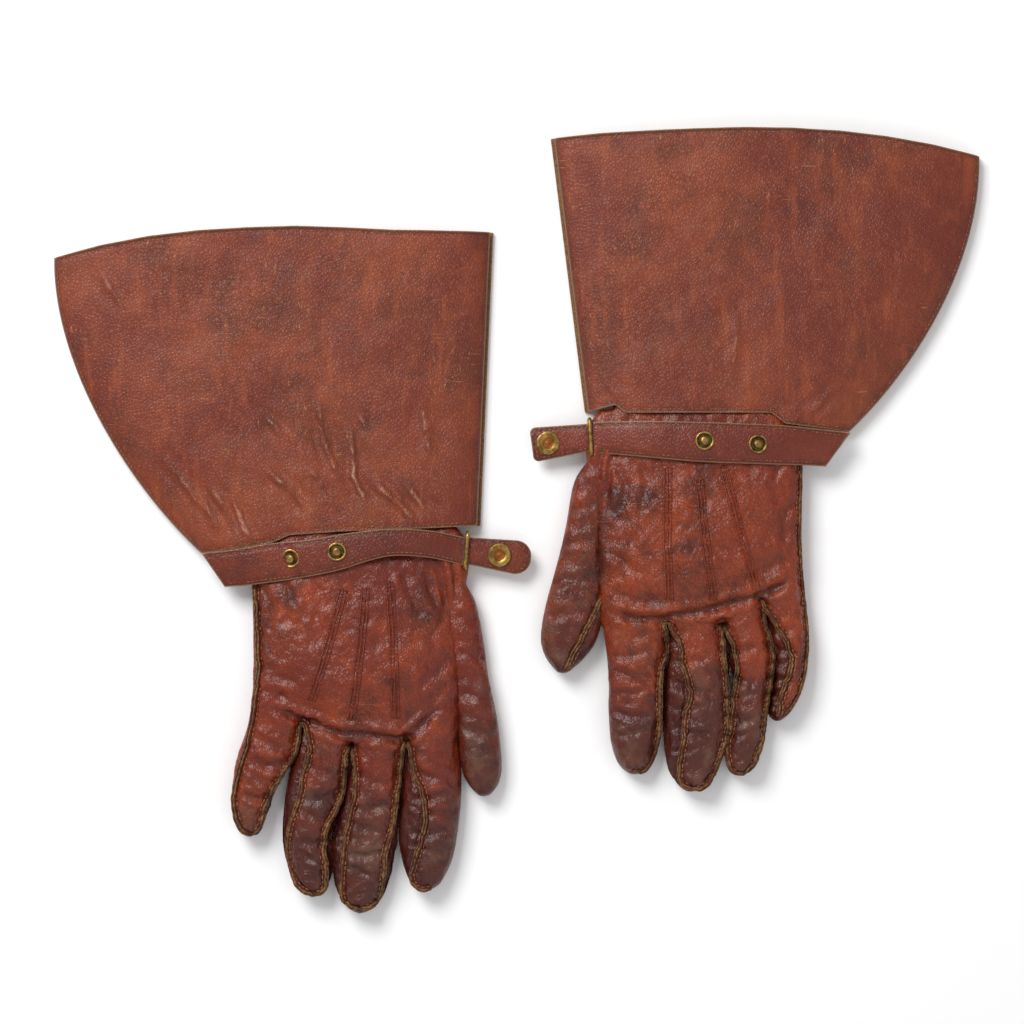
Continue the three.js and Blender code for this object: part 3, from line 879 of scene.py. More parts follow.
def sewnSeam(name, side, tree, line, seed, size=1.0, stitchOffset=1.9, stitchLift=0.1):
    points, normals = drapedPath(side, tree, line, seam["step"])
    ridge = seamRidge(name, points + normals * 0.35 * mm, normals, seed, size)
    row = stitchRow(
        name + "_thread", points, normals, stitchOffset * gloveSpace[side]["mirror"], stitchLift,
        seam["stitchPitch"],
    )
    return ridge, row


point = {"spacing": 2.0, "radius": 0.72, "stitchPitch": 2.3}


def pointRows(name, side, tree, line):
    # three raised rows side by side, each with its stitches
    parts, rows = [], []
    ring = [(
        point["radius"] * math.cos(a), point["radius"] * math.sin(a),
    ) for a in np.linspace(0, 2 * np.pi, 8, endpoint=False)]
    points, normals = drapedPath(side, tree, line, 1.4, 5)
    ahead = np.gradient(points, axis=0)
    sideways = np.cross(ahead, normals)
    sideways /= np.linalg.norm(sideways, axis=1)[:, None]
    for k in (-1, 0, 1):
        shifted = points + sideways * k * point["spacing"] * mm + normals * 0.02 * mm
        part = swept(name, shifted, normals, ring)
        shadeSmooth(part)
        parts.append(part)
        rows.append(stitchRow(
            name + "_thread", shifted, normals, 0.0, 0.62, point["stitchPitch"], 0.24, 0.75,
        ))
    return joinAll(name, parts), joinAll(name + "_thread", rows)


sideSeamSize = {"right": 1.35, "left": 0.75}
sewn = {side: {} for side in sides}
for side in sides:
    tree = treeOf(hands[side])
    for k, (leg, line) in enumerate(seamLines[side].items()):
        flip = 1 if leg.endswith("outer") else -1
        sewn[side][leg] = sewnSeam(f"{side}_{leg}_seam", side, tree, line, 2.0 * k, seam["size"], 2.3 * flip)
    sewn[side]["side"] = sewnSeam(
        f"{side}_side_seam", side, tree, sideSeam[side], 17.0, sideSeamSize[side], -2.3,
    )
    if side in thumbSeam:
        sewn[side]["thumb"] = sewnSeam(
            f"{side}_thumb_seam", side, treeOf(thumbs[side]), thumbSeam[side], 5.0, seam["size"], 2.2,
        )
    rows = [pointRows(f"{side}_point_{k + 1}", side, tree, line) for k, line in enumerate(pointLines[side])]
    sewn[side]["points"] = (
        joinAll(f"{side}_points", [row[0] for row in rows]),
        joinAll(f"{side}_point_threads", [row[1] for row in rows])
    )
    print(side, "seams sewn")

# the hand skins are cut into the hand and its fingers

fingerCut = {
    "right": [
        (-80, -84), (-45, -87), (-28.5, -87.5), (-15, -96), (-1, -101), (15, -102), (31.5, -98.5), (80, -98),
    ],
    "left": [
        (-80, -76), (-45, -80), (-31.5, -80), (-20, -89), (-10, -93.5), (8, -96), (22, -92.5), (80, -92),
    ],
}
fingerBlend = {"from": 2.0, "to": 22.0}


def nearestFinger(side, xy):
    reach = []
    for name in fingerNames:
        shape = fingerShape[side][name]
        edges = zip(smoothLine(shape["inner"], 8), smoothLine(shape["outer"], 8))
        middle = [((a + c) / 2, (b + d) / 2) for (a, b), (c, d) in edges]
        reach.append(lineDistance(xy, middle)[0])
    return np.argmin(reach, axis=0)


def cutFingers(side, obj):
    useOnly(obj)
    obj.data.normals_split_custom_set_from_vertices([v.normal[:] for v in obj.data.vertices])
    line = np.array(fingerCut[side], float)
    faces = obj.data.polygons
    centres = np.empty(len(faces) * 3)
    faces.foreach_get("center", centres)
    xy = toGlove(side, centres.reshape(-1, 3))[:, :2]
    below = xy[:, 1] < np.interp(xy[:, 0], line[:, 0], line[:, 1])
    which = np.where(below, nearestFinger(side, xy), -1)
    parts = {}
    for k, name in enumerate(fingerNames):
        useOnly(obj)
        bpy.ops.object.mode_set(mode="EDIT")
        bpy.ops.mesh.select_mode(type="FACE")
        bpy.ops.mesh.select_all(action="DESELECT")
        bpy.ops.object.mode_set(mode="OBJECT")
        obj.data.polygons.foreach_set("select", which == k)
        bpy.ops.object.mode_set(mode="EDIT")
        bpy.ops.mesh.separate(type="SELECTED")
        bpy.ops.object.mode_set(mode="OBJECT")
        parts[name] = next(o for o in bpy.context.selected_objects if o is not obj)
        parts[name].name = f"{side}_{name}_skin"
        which = which[which != k]
    return parts


fingerSkins = {side: cutFingers(side, hands[side]) for side in sides}
print("fingers cut from the hands")

# cuffs: four shaped sheets each, the back ones arched

cuffShape = {
    "right": {
        "foot": [(-88, 11), (-59, 14.7), (-46, 17), (-36, 21.5), (-7, 23.6), (28, 24.8), (72.6, 26.9)],
        "flare": [(-88, 11), (-130, 50), (-174, 120), (-173.3, 182.3)],
        "thumbTop": (80.1, 197.4),
        "top": [0, 5.5, 9, 10.5, 10.6, 9.8, 7.2, 4.2, 2.2, 0],
        "palmShift": 1.8,
    },
    "left": {
        "foot": [(-84, 18), (-46, 22.6), (-38, 29), (46.4, 29), (52.2, 33.6), (67.8, 29.6)],
        "flare": [(-84, 18), (-124, 56), (-161, 118), (-159.6, 178)],
        "thumbTop": (87.6, 188.5),
        "top": [0, 5, 8.6, 10.6, 11, 10.2, 8.4, 6.2, 3.6, 0],
        "palmShift": 1.8,
    },
}
cuffSheet = {"thickness": 1.5, "lining": 0.8, "rise": 12, "backFoot": 4.4, "columns": 150, "rows": 110}


def cuffGrid(side, shift=0.0, columns=150, rows=110):
    # flat points of a cuff sheet, rows from the wrist to the mouth and columns towards the thumb
    shape = cuffShape[side]
    u = np.linspace(0, 1, columns + 1)
    v = np.linspace(0, 1, rows + 1)[:, None]
    a, b, c, d = [np.array(p, float) for p in shape["flare"]]
    flare = a * (1 - v) ** 3 + 3 * b * v * (1 - v) ** 2 + 3 * c * v**2 * (1 - v) + d * v**3
    foot = np.array(shape["foot"], float)
    thumbFoot, thumbTop = foot[-1] + [shift, 0], np.array(shape["thumbTop"]) + [shift, 0]
    edge = thumbFoot * (1 - v) + thumbTop * v
    grid = flare[:, None, :] * (1 - u)[None, :, None] + edge[:, None, :] * u[None, :, None]
    bow = np.interp(u, np.linspace(0, 1, len(shape["top"])), shape["top"])
    grid[:, :, 1] += v * bow[None, :]
    straight = foot[0] * (1 - u)[:, None] + thumbFoot * u[:, None]
    footY = np.interp(straight[:, 0], foot[:, 0], foot[:, 1])
    grid[:, :, 1] += (1 - v) ** 3 * (footY - straight[:, 1])[None, :]
    return grid, u, v


def archOf(u):
    return (1 - np.abs(2 * u - 1) ** 2.6) ** 0.45


def sheetForm(name, side, grid, thickness):
    # a leather sheet with its upper face on the grid of glove points
    world = toWorld(side, grid)
    if gloveSpace[side]["mirror"] < 0:
        world = world[:, ::-1]
    rows, columns = world.shape[:2]
    deselectAll()
    bpy.ops.mesh.primitive_grid_add(x_subdivisions=columns - 1, y_subdivisions=rows - 1)
    obj = bpy.context.object
    obj.name = name
    setPoints(obj, world.reshape(-1, 3))
    applyModifier(obj, "SOLIDIFY", thickness=thickness * mm, offset=-1.0, material_offset_rim=1)
    shadeSmooth(obj, 50)
    return obj


def storeCreases(obj, side):
    # the distance to the nearest crease, and how strong it is there
    xy = toGlove(side, pointsOf(obj))[:, :2]
    wander = noiseAt(np.column_stack([xy, 0 * xy[:, :1]]), 0.09, 8.0) * 2.2
    nearest, strength = np.full(len(xy), 9.0), np.zeros(len(xy))
    for line, _, depth in cuffCreases[side]:
        gap, along = lineDistance(xy, line)
        gap = np.abs(gap + wander)
        closer = gap < nearest
        nearest[closer] = gap[closer]
        strength[closer] = (depth * smoothstep(0, 0.25, along) * smoothstep(0, 0.25, 1 - along))[closer]
    storeValue(obj, "crease", nearest)
    storeValue(obj, "creaseHere", strength)


def storeSheetEdges(obj, side):
    # how far each point is from the sheet's outline, in millimetres
    xy = toGlove(side, pointsOf(obj))[:, :2]
    shape = cuffShape[side]
    grid, u, _ = cuffGrid(side, 0.0, 40, 40)
    outline = [
        *map(tuple, grid[0]), *map(tuple, grid[1:, -1]), *map(tuple, grid[-1, ::-1]),
        *map(tuple, grid[::-1, 0])
    ]
    storeValue(obj, "edge", np.minimum(lineDistance(xy, outline)[0], 30))
    shade = noiseAt(np.column_stack([xy, 0 * xy[:, :1]]), 0.02, 3.0)
    storeValue(obj, "fold", 0.3 * shade)
    storeValue(obj, "foot", np.clip(1 - (xy[:, 1] - shape["foot"][-1][1]) / 60, 0, 1))


# long soft creases of the cuffs: (points, width, depth)
cuffCreases = {
    "right": [
        ([(-20, 102), (-16.5, 78), (-5, 48)], 3.0, 0.9),
        ([(-51.5, 92), (-39, 79)], 2.6, 0.6),
        ([(-51, 62), (-24, 36)], 3.0, 0.9),
        ([(-24, 62), (-17, 50), (-14, 40)], 2.6, 0.7),
        ([(-1, 88), (1.8, 54), (10, 36)], 2.8, 0.8),
        ([(3.6, 92), (10.5, 81)], 2.4, 0.5),
        ([(9, 56), (38, 30)], 2.8, 0.9),
        ([(30, 52), (44, 34)], 2.4, 0.6),
        ([(-70, 44), (-59, 18)], 2.6, 0.6),
        ([(-113, 71), (-90, 44), (-70, 18)], 3.2, 0.6),
        ([(-83, 54), (-64, 18)], 2.6, 0.6),
        ([(-146, 177), (-131, 149)], 3.2, 0.5),
        ([(40, 100), (46, 64)], 4.5, 0.6),
    ],
    "left": [
        ([(60, 52), (54, 42), (48, 36)], 3.2, 0.4),
        ([(-76, 44), (-66, 34), (-56, 28)], 3.0, 0.4),
        ([(-20, 96), (-16, 60), (-14, 40)], 5.0, 0.4),
    ],
}
cuffDepth = 1.7


def cuffPanels(side):
    made = {}
    t = cuffSheet
    grid, u, v = cuffGrid(side, 0.0, t["columns"], t["rows"])
    arch = archOf(u)[None, :] * np.ones_like(v)
    flat = grid.reshape(-1, 2)
    wave = 1.3 * noiseAt(
        np.column_stack([flat, 0 * flat[:, :1]]), 0.014, 4.0 * sides[side],
    ).reshape(arch.shape)
    wave += 0.5 * noiseAt(
        np.column_stack([flat, 0 * flat[:, :1]]), 0.05, 6.0 * sides[side],
    ).reshape(arch.shape)
    rough = noiseAt(
        np.column_stack([flat * [1.0, 0.55], 0 * flat[:, :1]]), 0.12, 7.0 * sides[side],
    ).reshape(arch.shape)
    wave += 0.3 * rough * smoothstep(0.75, 0.1, v)
    push = np.zeros(len(flat))
    wander = noiseAt(np.column_stack([flat, 0 * flat[:, :1]]), 0.09, 8.0) * 2.2
    for line, width, depth in cuffCreases[side]:
        gap, along = lineDistance(flat, line)
        gap = np.abs(gap + wander)
        fade = smoothstep(0, 0.3, along) * smoothstep(0, 0.3, 1 - along)
        valley = np.exp(-((gap / (0.7 * width)) ** 2))
        beside = np.exp(-(((gap - 1.5 * width) / (0.9 * width)) ** 2))
        push += cuffDepth * depth * fade * (0.5 * valley - 0.7 * beside)
    z = t["backFoot"] + t["rise"] * arch + t["thickness"] + wave * arch + push.reshape(arch.shape)
    back = np.dstack([grid, z])
    made["back"] = sheetForm(f"{side}_cuff_back_leather", side, back, t["thickness"])
    storeSheetEdges(made["back"], side)
    storeCreases(made["back"], side)
    inner = np.dstack([grid, z - t["thickness"] - 0.3])[::3, ::3]
    made["backLining"] = sheetForm(f"{side}_cuff_back_inside", side, inner, t["lining"])
    palm, u, v = cuffGrid(side, cuffShape[side]["palmShift"], 60, 44)
    flatZ = np.full(palm.shape[:2], t["thickness"] + 0.05)
    made["palm"] = sheetForm(f"{side}_cuff_palm_leather", side, np.dstack([palm, flatZ]), t["thickness"])
    storeSheetEdges(made["palm"], side)
    made["palmLining"] = sheetForm(
        f"{side}_cuff_palm_inside", side, np.dstack([palm, flatZ + 1.15]), t["lining"],
    )
    return made


cuffs = {side: cuffPanels(side) for side in sides}
print("cuffs made")

# rows of stitches along the cuffs: how far inside each edge
cuffStitch = {"hem": 2.6, "flare": 2.2, "foot": 2.0, "pitch": 2.7, "size": 0.26}


def insetLine(line, inset):
    line = np.asarray(line, float)
    ahead = np.gradient(line, axis=0)
    ahead /= np.linalg.norm(ahead, axis=1)[:, None]
    return line + np.column_stack([-ahead[:, 1], ahead[:, 0]]) * inset


def cuffThreads(side):
    grid, _, _ = cuffGrid(side, 0.0, 36, 30)
    tree = treeOf(cuffs[side]["back"])
    t = cuffStitch
    lines = [
        insetLine(grid[-1, 1:-1], -t["hem"]), insetLine(grid[1:-1, 0], -t["flare"]),
        insetLine(grid[0, 1:-1], t["foot"]),
    ]
    rows = []
    for k, line in enumerate(lines):
        points, normals = drapedPath(side, tree, line, 2.0, 3)
        rows.append(stitchRow(f"{side}_cuff_thread", points, normals, 0.0, 0.05, t["pitch"], t["size"], 0.85))
    return joinAll(f"{side}_cuff_thread", rows)


cuffSewing = {side: cuffThreads(side) for side in sides}

# wrist straps and tabs, flat bands of leather

strapEdges = {
    "right": {
        "upper": [
            (-87, 11), (-72, 12.6), (-59, 14.7), (-44.6, 17), (-24.3, 19), (-1.1, 22.8), (22.1, 25.2),
            (45.3, 24.2), (66.6, 20),
        ],
        "lower": [
            (-73.5, -8.5), (-66, -8), (-59, -7.4), (-30, -3.3), (-6.9, 1.3), (10.5, 6.8), (25, 9.6),
            (45.3, 8.4), (64.4, 4),
        ],
    },
    "left": {
        "upper": [
            (-84, 17.4), (-64, 19.6), (-43.5, 21.6), (-20, 22.6), (2.9, 23.4), (31.9, 24), (50, 24),
            (67, 23.6),
        ],
        "lower": [(-69.6, -2.3), (-60.9, -1.7), (-30, -0.8), (2.9, 0.4), (31.9, 2.9), (50, 4.6), (66, 6)],
    },
}
band = {"thickness": 2.0, "crown": 0.5, "columns": 120, "rows": 14}


def crossHeights(side, line, node, fallback):
    # heights of a node's upper face along a line
    obj = nodes[node]
    tree = BVHTree.FromPolygons(
        [v.co[:] for v in obj.data.vertices], [list(f.vertices) for f in obj.data.polygons]
    )
    heights = []
    for x, y, _ in toWorld(side, np.column_stack([line, np.zeros(len(line))])):
        hit = tree.ray_cast(Vector((x, y, 0.1)), Vector((0, 0, -1)))[0]
        heights.append(hit.z / mm if hit else (heights[-1] if heights else fallback))
    heights = np.array(heights)
    for _ in range(6):
        heights[1:-1] = (heights[:-2] + 2 * heights[1:-1] + heights[2:]) / 4
    return heights


def bandForm(name, side, upper, lower, heights, sag=0.0):
    v = np.linspace(0, 1, band["rows"] + 1)[:, None, None]
    grid = lower[None] * (1 - v) + upper[None] * v
    across = 2 * v[:, :, 0] - 1
    wave = noiseAt(
        np.column_stack([grid.reshape(-1, 2), np.zeros(grid[..., 0].size)]), 0.06, 2.0,
    ).reshape(grid.shape[:2])
    z = heights[None] + band["crown"] * (1 - across**2) - band["crown"] * across**8 + sag * wave
    obj = sheetForm(name, side, np.dstack([grid, z]), band["thickness"])
    xy = toGlove(side, pointsOf(obj))[:, :2]
    outline = [*map(tuple, lower), *map(tuple, upper[::-1])]
    storeValue(obj, "edge", lineDistance(xy, outline + outline[:1])[0])
    storeValue(obj, "fold", 0.5 * noiseAt(np.column_stack([xy, 0 * xy[:, :1]]), 0.05, 9.0))
    return obj


def strapParts(side):
    upper, lower = smoothLine(
        strapEdges[side]["upper"], band["columns"],
    ), smoothLine(strapEdges[side]["lower"], band["columns"])
    heights = crossHeights(side, (upper + lower) / 2, side + "_wrist_strap", 14.4)
    strap = bandForm(side + "_strap_leather", side, upper, lower, heights, 0.25)
    tree = treeOf(strap)
    rows = []
    for line, inset in ((upper[2:-2], -2.0), (lower[2:-2], 2.0)):
        points, normals = drapedPath(side, tree, insetLine(line[::4], inset), 2.0, 2)
        rows.append(stitchRow(side + "_strap_thread", points, normals, 0.0, 0.05, 2.7, 0.24, 0.85))
    return strap, joinAll(side + "_strap_thread", rows)


tabShape = {
    "right": {
        "length": 39, "rootHalf": 7.6, "endHalf": 10.6, "corner": 10, "lean": 0.05, "start": -1.2, "dip": 0.9,
    },
    "left": {
        "length": 35.5, "rootHalf": 7.8, "endHalf": 10.2, "corner": 3.5, "lean": 0.08, "start": -1.2,
        "dip": 0.4,
    },
}
loopPlace = {"right": {"at": (66.4, 12.6), "turn": -5}, "left": {"at": (66.6, 14.8), "turn": -3}}


def tabParts(side):
    t = tabShape[side]
    place = loopPlace[side]
    turn = math.radians(place["turn"]) - t["lean"]
    ahead, sideways = np.array([math.cos(turn), math.sin(turn)]), np.array([-math.sin(turn), math.cos(turn)])
    s = t["start"] + (t["length"] - 0.02) * (1 - (1 - np.linspace(0, 1, 61)) ** 1.6)
    half = np.interp(s, [t["start"], t["length"]], [t["rootHalf"], t["endHalf"]])
    into = np.clip((s - (t["length"] + t["start"] - t["corner"])) / t["corner"], 0, 1)
    half -= t["corner"] * (1 - np.sqrt(1 - into**2)) * min(1, t["endHalf"] / t["corner"])
    half = np.maximum(half, 0.4)
    middle = np.array(place["at"]) + ahead * s[:, None]
    upper, lower = middle + sideways * half[:, None], middle - sideways * half[:, None]
    heights = crossHeights(side, middle, side + "_strap_tab", 14.0)
    tab = bandForm(side + "_tab_leather", side, upper, lower, heights, t["dip"])
    tree = treeOf(tab)
    line = np.concatenate([insetLine(upper[1::3], -1.9)[:-2], insetLine(lower[1::3], 1.9)[:-2][::-1]])
    points, normals = drapedPath(side, tree, line, 2.0, 2)
    return tab, stitchRow(side + "_tab_thread", points, normals, 0.0, 0.05, 2.7, 0.24, 0.85)


straps = {side: strapParts(side) for side in sides}
tabs = {side: tabParts(side) for side in sides}
print("straps and tabs made")

# brass loop of round wire

loopWire = {"radius": 1.25, "corner": 2.2, "steps": 8}


def loopForm(side):
    low, high = [np.array(p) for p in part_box(side + "_brass_loop")]
    turn = math.radians(loopPlace[side]["turn"]) * gloveSpace[side]["mirror"]
    centre = (low + high) / 2
    halfLong = 10.3 * mm
    halfHigh = (high[2] - low[2]) / 2 - loopWire["radius"] * mm
    long, up = np.array([-math.sin(turn), math.cos(turn), 0]), np.array([0, 0, 1.0])
    r = loopWire["corner"] * mm
    path = []
    for k, (a, b) in enumerate(((1, 1), (-1, 1), (-1, -1), (1, -1))):
        for angle in np.linspace(k * np.pi / 2, (k + 1) * np.pi / 2, loopWire["steps"]):
            reach, rise = a * (halfLong - r) + r * math.cos(angle), b * (halfHigh - r) + r * math.sin(angle)
            path.append(centre + long * reach + up * rise)
    out = np.cross(long, up)
    ring = [(
        loopWire["radius"] * math.cos(t), loopWire["radius"] * math.sin(t),
    ) for t in np.linspace(0, 2 * np.pi, 16, endpoint=False)]
    path = np.array(path)
    sections = np.repeat(np.array(ring)[None], len(path), axis=0)
    wire = swept(side + "_loop_wire", path, np.tile(out, (len(path), 1)), sections, True)
    shadeSmooth(wire)
    return wire


loops = {side: loopForm(side) for side in sides}


def turned(name, centre, profile, around=40):
    # a turned piece, its profile as (radius, height) millimetres from the bottom to the top
    rings = []
    for radius, height in profile:
        angle = np.linspace(0, 2 * np.pi, around, endpoint=False)
        ring = np.column_stack([radius * np.cos(angle), radius * np.sin(angle), np.full(around, height)])
        rings.append(np.asarray(centre)[None] + ring * mm)
    obj = wrappedForm(name, rings)
    shadeSmooth(obj, 40)
    return obj


studProfile = [
    (5.2, 0.0), (5.5, 0.15), (5.5, 0.55), (5.3, 0.85), (4.9, 0.98), (4.4, 0.9), (4.0, 0.5), (3.2, 0.3),
    (2.75, 0.4),
]
studProfile += [
    (2.5, 0.9), (2.35, 1.6), (2.55, 1.9), (2.6, 2.25), (2.35, 2.6), (1.7, 2.85), (0.9, 2.98), (0.3, 3.0),
]
eyeProfile = [
    (6.6, -0.3), (6.75, 0.2), (6.5, 0.55), (5.8, 0.72), (4.9, 0.72), (3.7, 0.6), (3.1, 0.3), (2.95, -0.2),
]
pitProfile = [(3.2, -1.2), (3.2, -0.2), (2.6, -0.28), (1.6, -0.38), (0.9, -0.2), (0.4, -0.12)]


def storeRecess(obj, centre, inner, outer):
    # darker in the groove between two radii
    gap = np.hypot(*(pointsOf(obj)[:, :2] - np.asarray(centre)[:2]).T) / mm
    storeValue(obj, "recess", smoothstep(inner - 0.5, inner, gap) * (1 - smoothstep(outer, outer + 0.5, gap)))


def topCentre(node):
    low, high = [np.array(p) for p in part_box(node)]
    return (low + high) / 2, high[2]


def hardware(side):
    made = {}
    strapTree, tabTree = treeOf(straps[side][0]), treeOf(tabs[side][0])
    for k in (1, 2):
        centre, _ = topCentre(f"{side}_stud_{k}")
        seat, up, _, _ = strapTree.ray_cast(Vector((centre[0], centre[1], 0.1)), Vector((0, 0, -1)))
        made[f"stud_{k}"] = turned(f"{side}_stud_{k}_brass", [0, 0, 0], studProfile)
        storeRecess(made[f"stud_{k}"], (0, 0), 2.6, 3.9)
        useOnly(made[f"stud_{k}"])
        made[f"stud_{k}"].rotation_euler = Vector((0, 0, 1)).rotation_difference(up).to_euler()
        made[f"stud_{k}"].location = seat
        bpy.ops.object.transform_apply(location=True, rotation=True, scale=True)
    centre, _ = topCentre(side + "_snap_socket")
    seat = tabTree.ray_cast(Vector((centre[0], centre[1], 0.1)), Vector((0, 0, -1)))[0].z
    place = [centre[0], centre[1], seat + 0.15 * mm]
    ring = [(radius, height) for radius, height in eyeProfile]
    made["eye"] = turned(side + "_socket_ring", place, ring)
    made["pit"] = turned(side + "_socket_pit", [place[0], place[1], seat + 1.0 * mm], pitProfile)
    return made


brassware = {side: hardware(side) for side in sides}
print("loops, studs and sockets made")

# finishes


class Value:
    # a shader socket that takes + - * and / in plain expressions
    def __init__(self, graph, socket):
        self.graph, self.socket = graph, socket

    def math(self, operation, *others):
        made = self.graph.node(
            "ShaderNodeMath", {"operation": operation}, {k: v for k, v in enumerate((self, *others))}
        )
        return Value(self.graph, made.outputs[0])

    def __add__(self, other):
        return self.math("ADD", other)

    def __mul__(self, other):
        return self.math("MULTIPLY", other)

    def __sub__(self, other):
        return self.math("SUBTRACT", other)

    def __rsub__(self, other):
        return (self * -1) + other

    __radd__ = __add__
    __rmul__ = __mul__

    def power(self, other):
        return self.math("POWER", other)

    def step(self, low, high):
        # 0 below low, 1 above high, smooth between
        settings = {"interpolation_type": "SMOOTHSTEP"}
        return Value(
            self.graph,
            self.graph.node("ShaderNodeMapRange", settings, {0: self, 1: low, 2: high}).outputs[0],
        )


class Finish:
    def __init__(self, name):
        self.material = bpy.data.materials.new(name)
        self.material.use_nodes = True
        self.tree = self.material.node_tree
        self.shader = self.tree.nodes["Principled BSDF"]
        self.place = self.node("ShaderNodeTexCoord").outputs["Object"]

    def node(self, kind, settings=None, inputs=None):
        made = self.tree.nodes.new(kind)
        for key, value in (settings or {}).items():
            setattr(made, key, value)
        for key, value in (inputs or {}).items():
            self.feed(made.inputs[key], value)
        return made

    def feed(self, socket, value):
        if isinstance(value, Value):
            value = value.socket
        if isinstance(value, bpy.types.NodeSocket):
            self.tree.links.new(value, socket)
        else:
            socket.default_value = value

    def noise(self, scale, detail=3.0, rough=0.55, distort=0.0, place=None):
        inputs = {
            "Vector": place or self.place, "Scale": scale, "Detail": detail, "Roughness": rough,
            "Distortion": distort,
        }
        return Value(self, self.node("ShaderNodeTexNoise", None, inputs).outputs[0])

    def cells(self, scale, feature="F1", place=None):
        inputs = {"Vector": place or self.place, "Scale": scale}
        return Value(
            self, self.node("ShaderNodeTexVoronoi", {"feature": feature}, inputs).outputs["Distance"],
        )

    def stretched(self, size, turn=0.0, shift=(0, 0, 0)):
        settings = {"Vector": self.place, "Scale": size, "Rotation": (0, 0, turn), "Location": shift}
        return self.node("ShaderNodeMapping", None, settings).outputs[0]

    def warped(self, amount, scale):
        inputs = {"Vector": self.place, "Scale": scale, "Detail": 2.0}
        drift = self.node("ShaderNodeTexNoise", None, inputs).outputs["Color"]
        drift = self.node(
            "ShaderNodeVectorMath", {"operation": "SUBTRACT"}, {0: drift, 1: (0.5, 0.5, 0.5)},
        ).outputs[0]
        drift = self.node(
            "ShaderNodeVectorMath", {"operation": "SCALE"}, {0: drift, "Scale": amount},
        ).outputs[0]
        return self.node("ShaderNodeVectorMath", {"operation": "ADD"}, {0: self.place, 1: drift}).outputs[0]

    def attribute(self, name):
        return Value(self, self.node("ShaderNodeAttribute", {"attribute_name": name}).outputs["Fac"])

    def mix(self, one, other, share):
        made = self.node("ShaderNodeMix", {"data_type": "RGBA"}, {0: share, 6: one, 7: other})
        return made.outputs[2]

    def bump(self, height, strength, distance, under=None):
        inputs = {"Strength": strength, "Distance": distance, "Height": height}
        if under:
            inputs["Normal"] = under
        return self.node("ShaderNodeBump", None, inputs).outputs[0]

    def finish(self, colour, rough, normal=None, **plain):
        self.feed(self.shader.inputs["Base Color"], colour)
        self.feed(self.shader.inputs["Roughness"], rough)
        if normal:
            self.feed(self.shader.inputs["Normal"], normal)
        for key, value in plain.items():
            self.feed(self.shader.inputs[key.replace("_", " ")], value)
        return self.material


def colour(red, green, blue):
    # a colour given the way a paint chart gives it, 0 to 255
    return tuple(((v / 255 + 0.055) / 1.055) ** 2.4 if v > 10 else v / 3294 for v in (
        red, green, blue,
    )) + (1,)


leathers = {
    "cuff": {
        "base": (107, 38, 20), "dark": (58, 21, 13), "warm": (146, 68, 32), "pale": (190, 126, 76),
        "rough": 0.44, "grain": 0.0005, "scuffs": 1.0, "crackle": 0.2, "mottle": 0.55,
    },
    "hand": {
        "base": (104, 33, 16), "dark": (42, 13, 10), "warm": (162, 66, 22), "pale": (190, 112, 68),
        "rough": 0.34, "grain": 0.00033, "scuffs": 0.45, "crackle": 0.35, "mottle": 0.85,
    },
    "strap": {
        "base": (100, 34, 19), "dark": (52, 18, 12), "warm": (132, 54, 26), "pale": (178, 120, 78),
        "rough": 0.38, "grain": 0.0004, "scuffs": 0.6, "crackle": 0.25, "mottle": 0.6,
    },
}
rawLeather = {"base": (132, 94, 58), "dark": (70, 48, 32)}


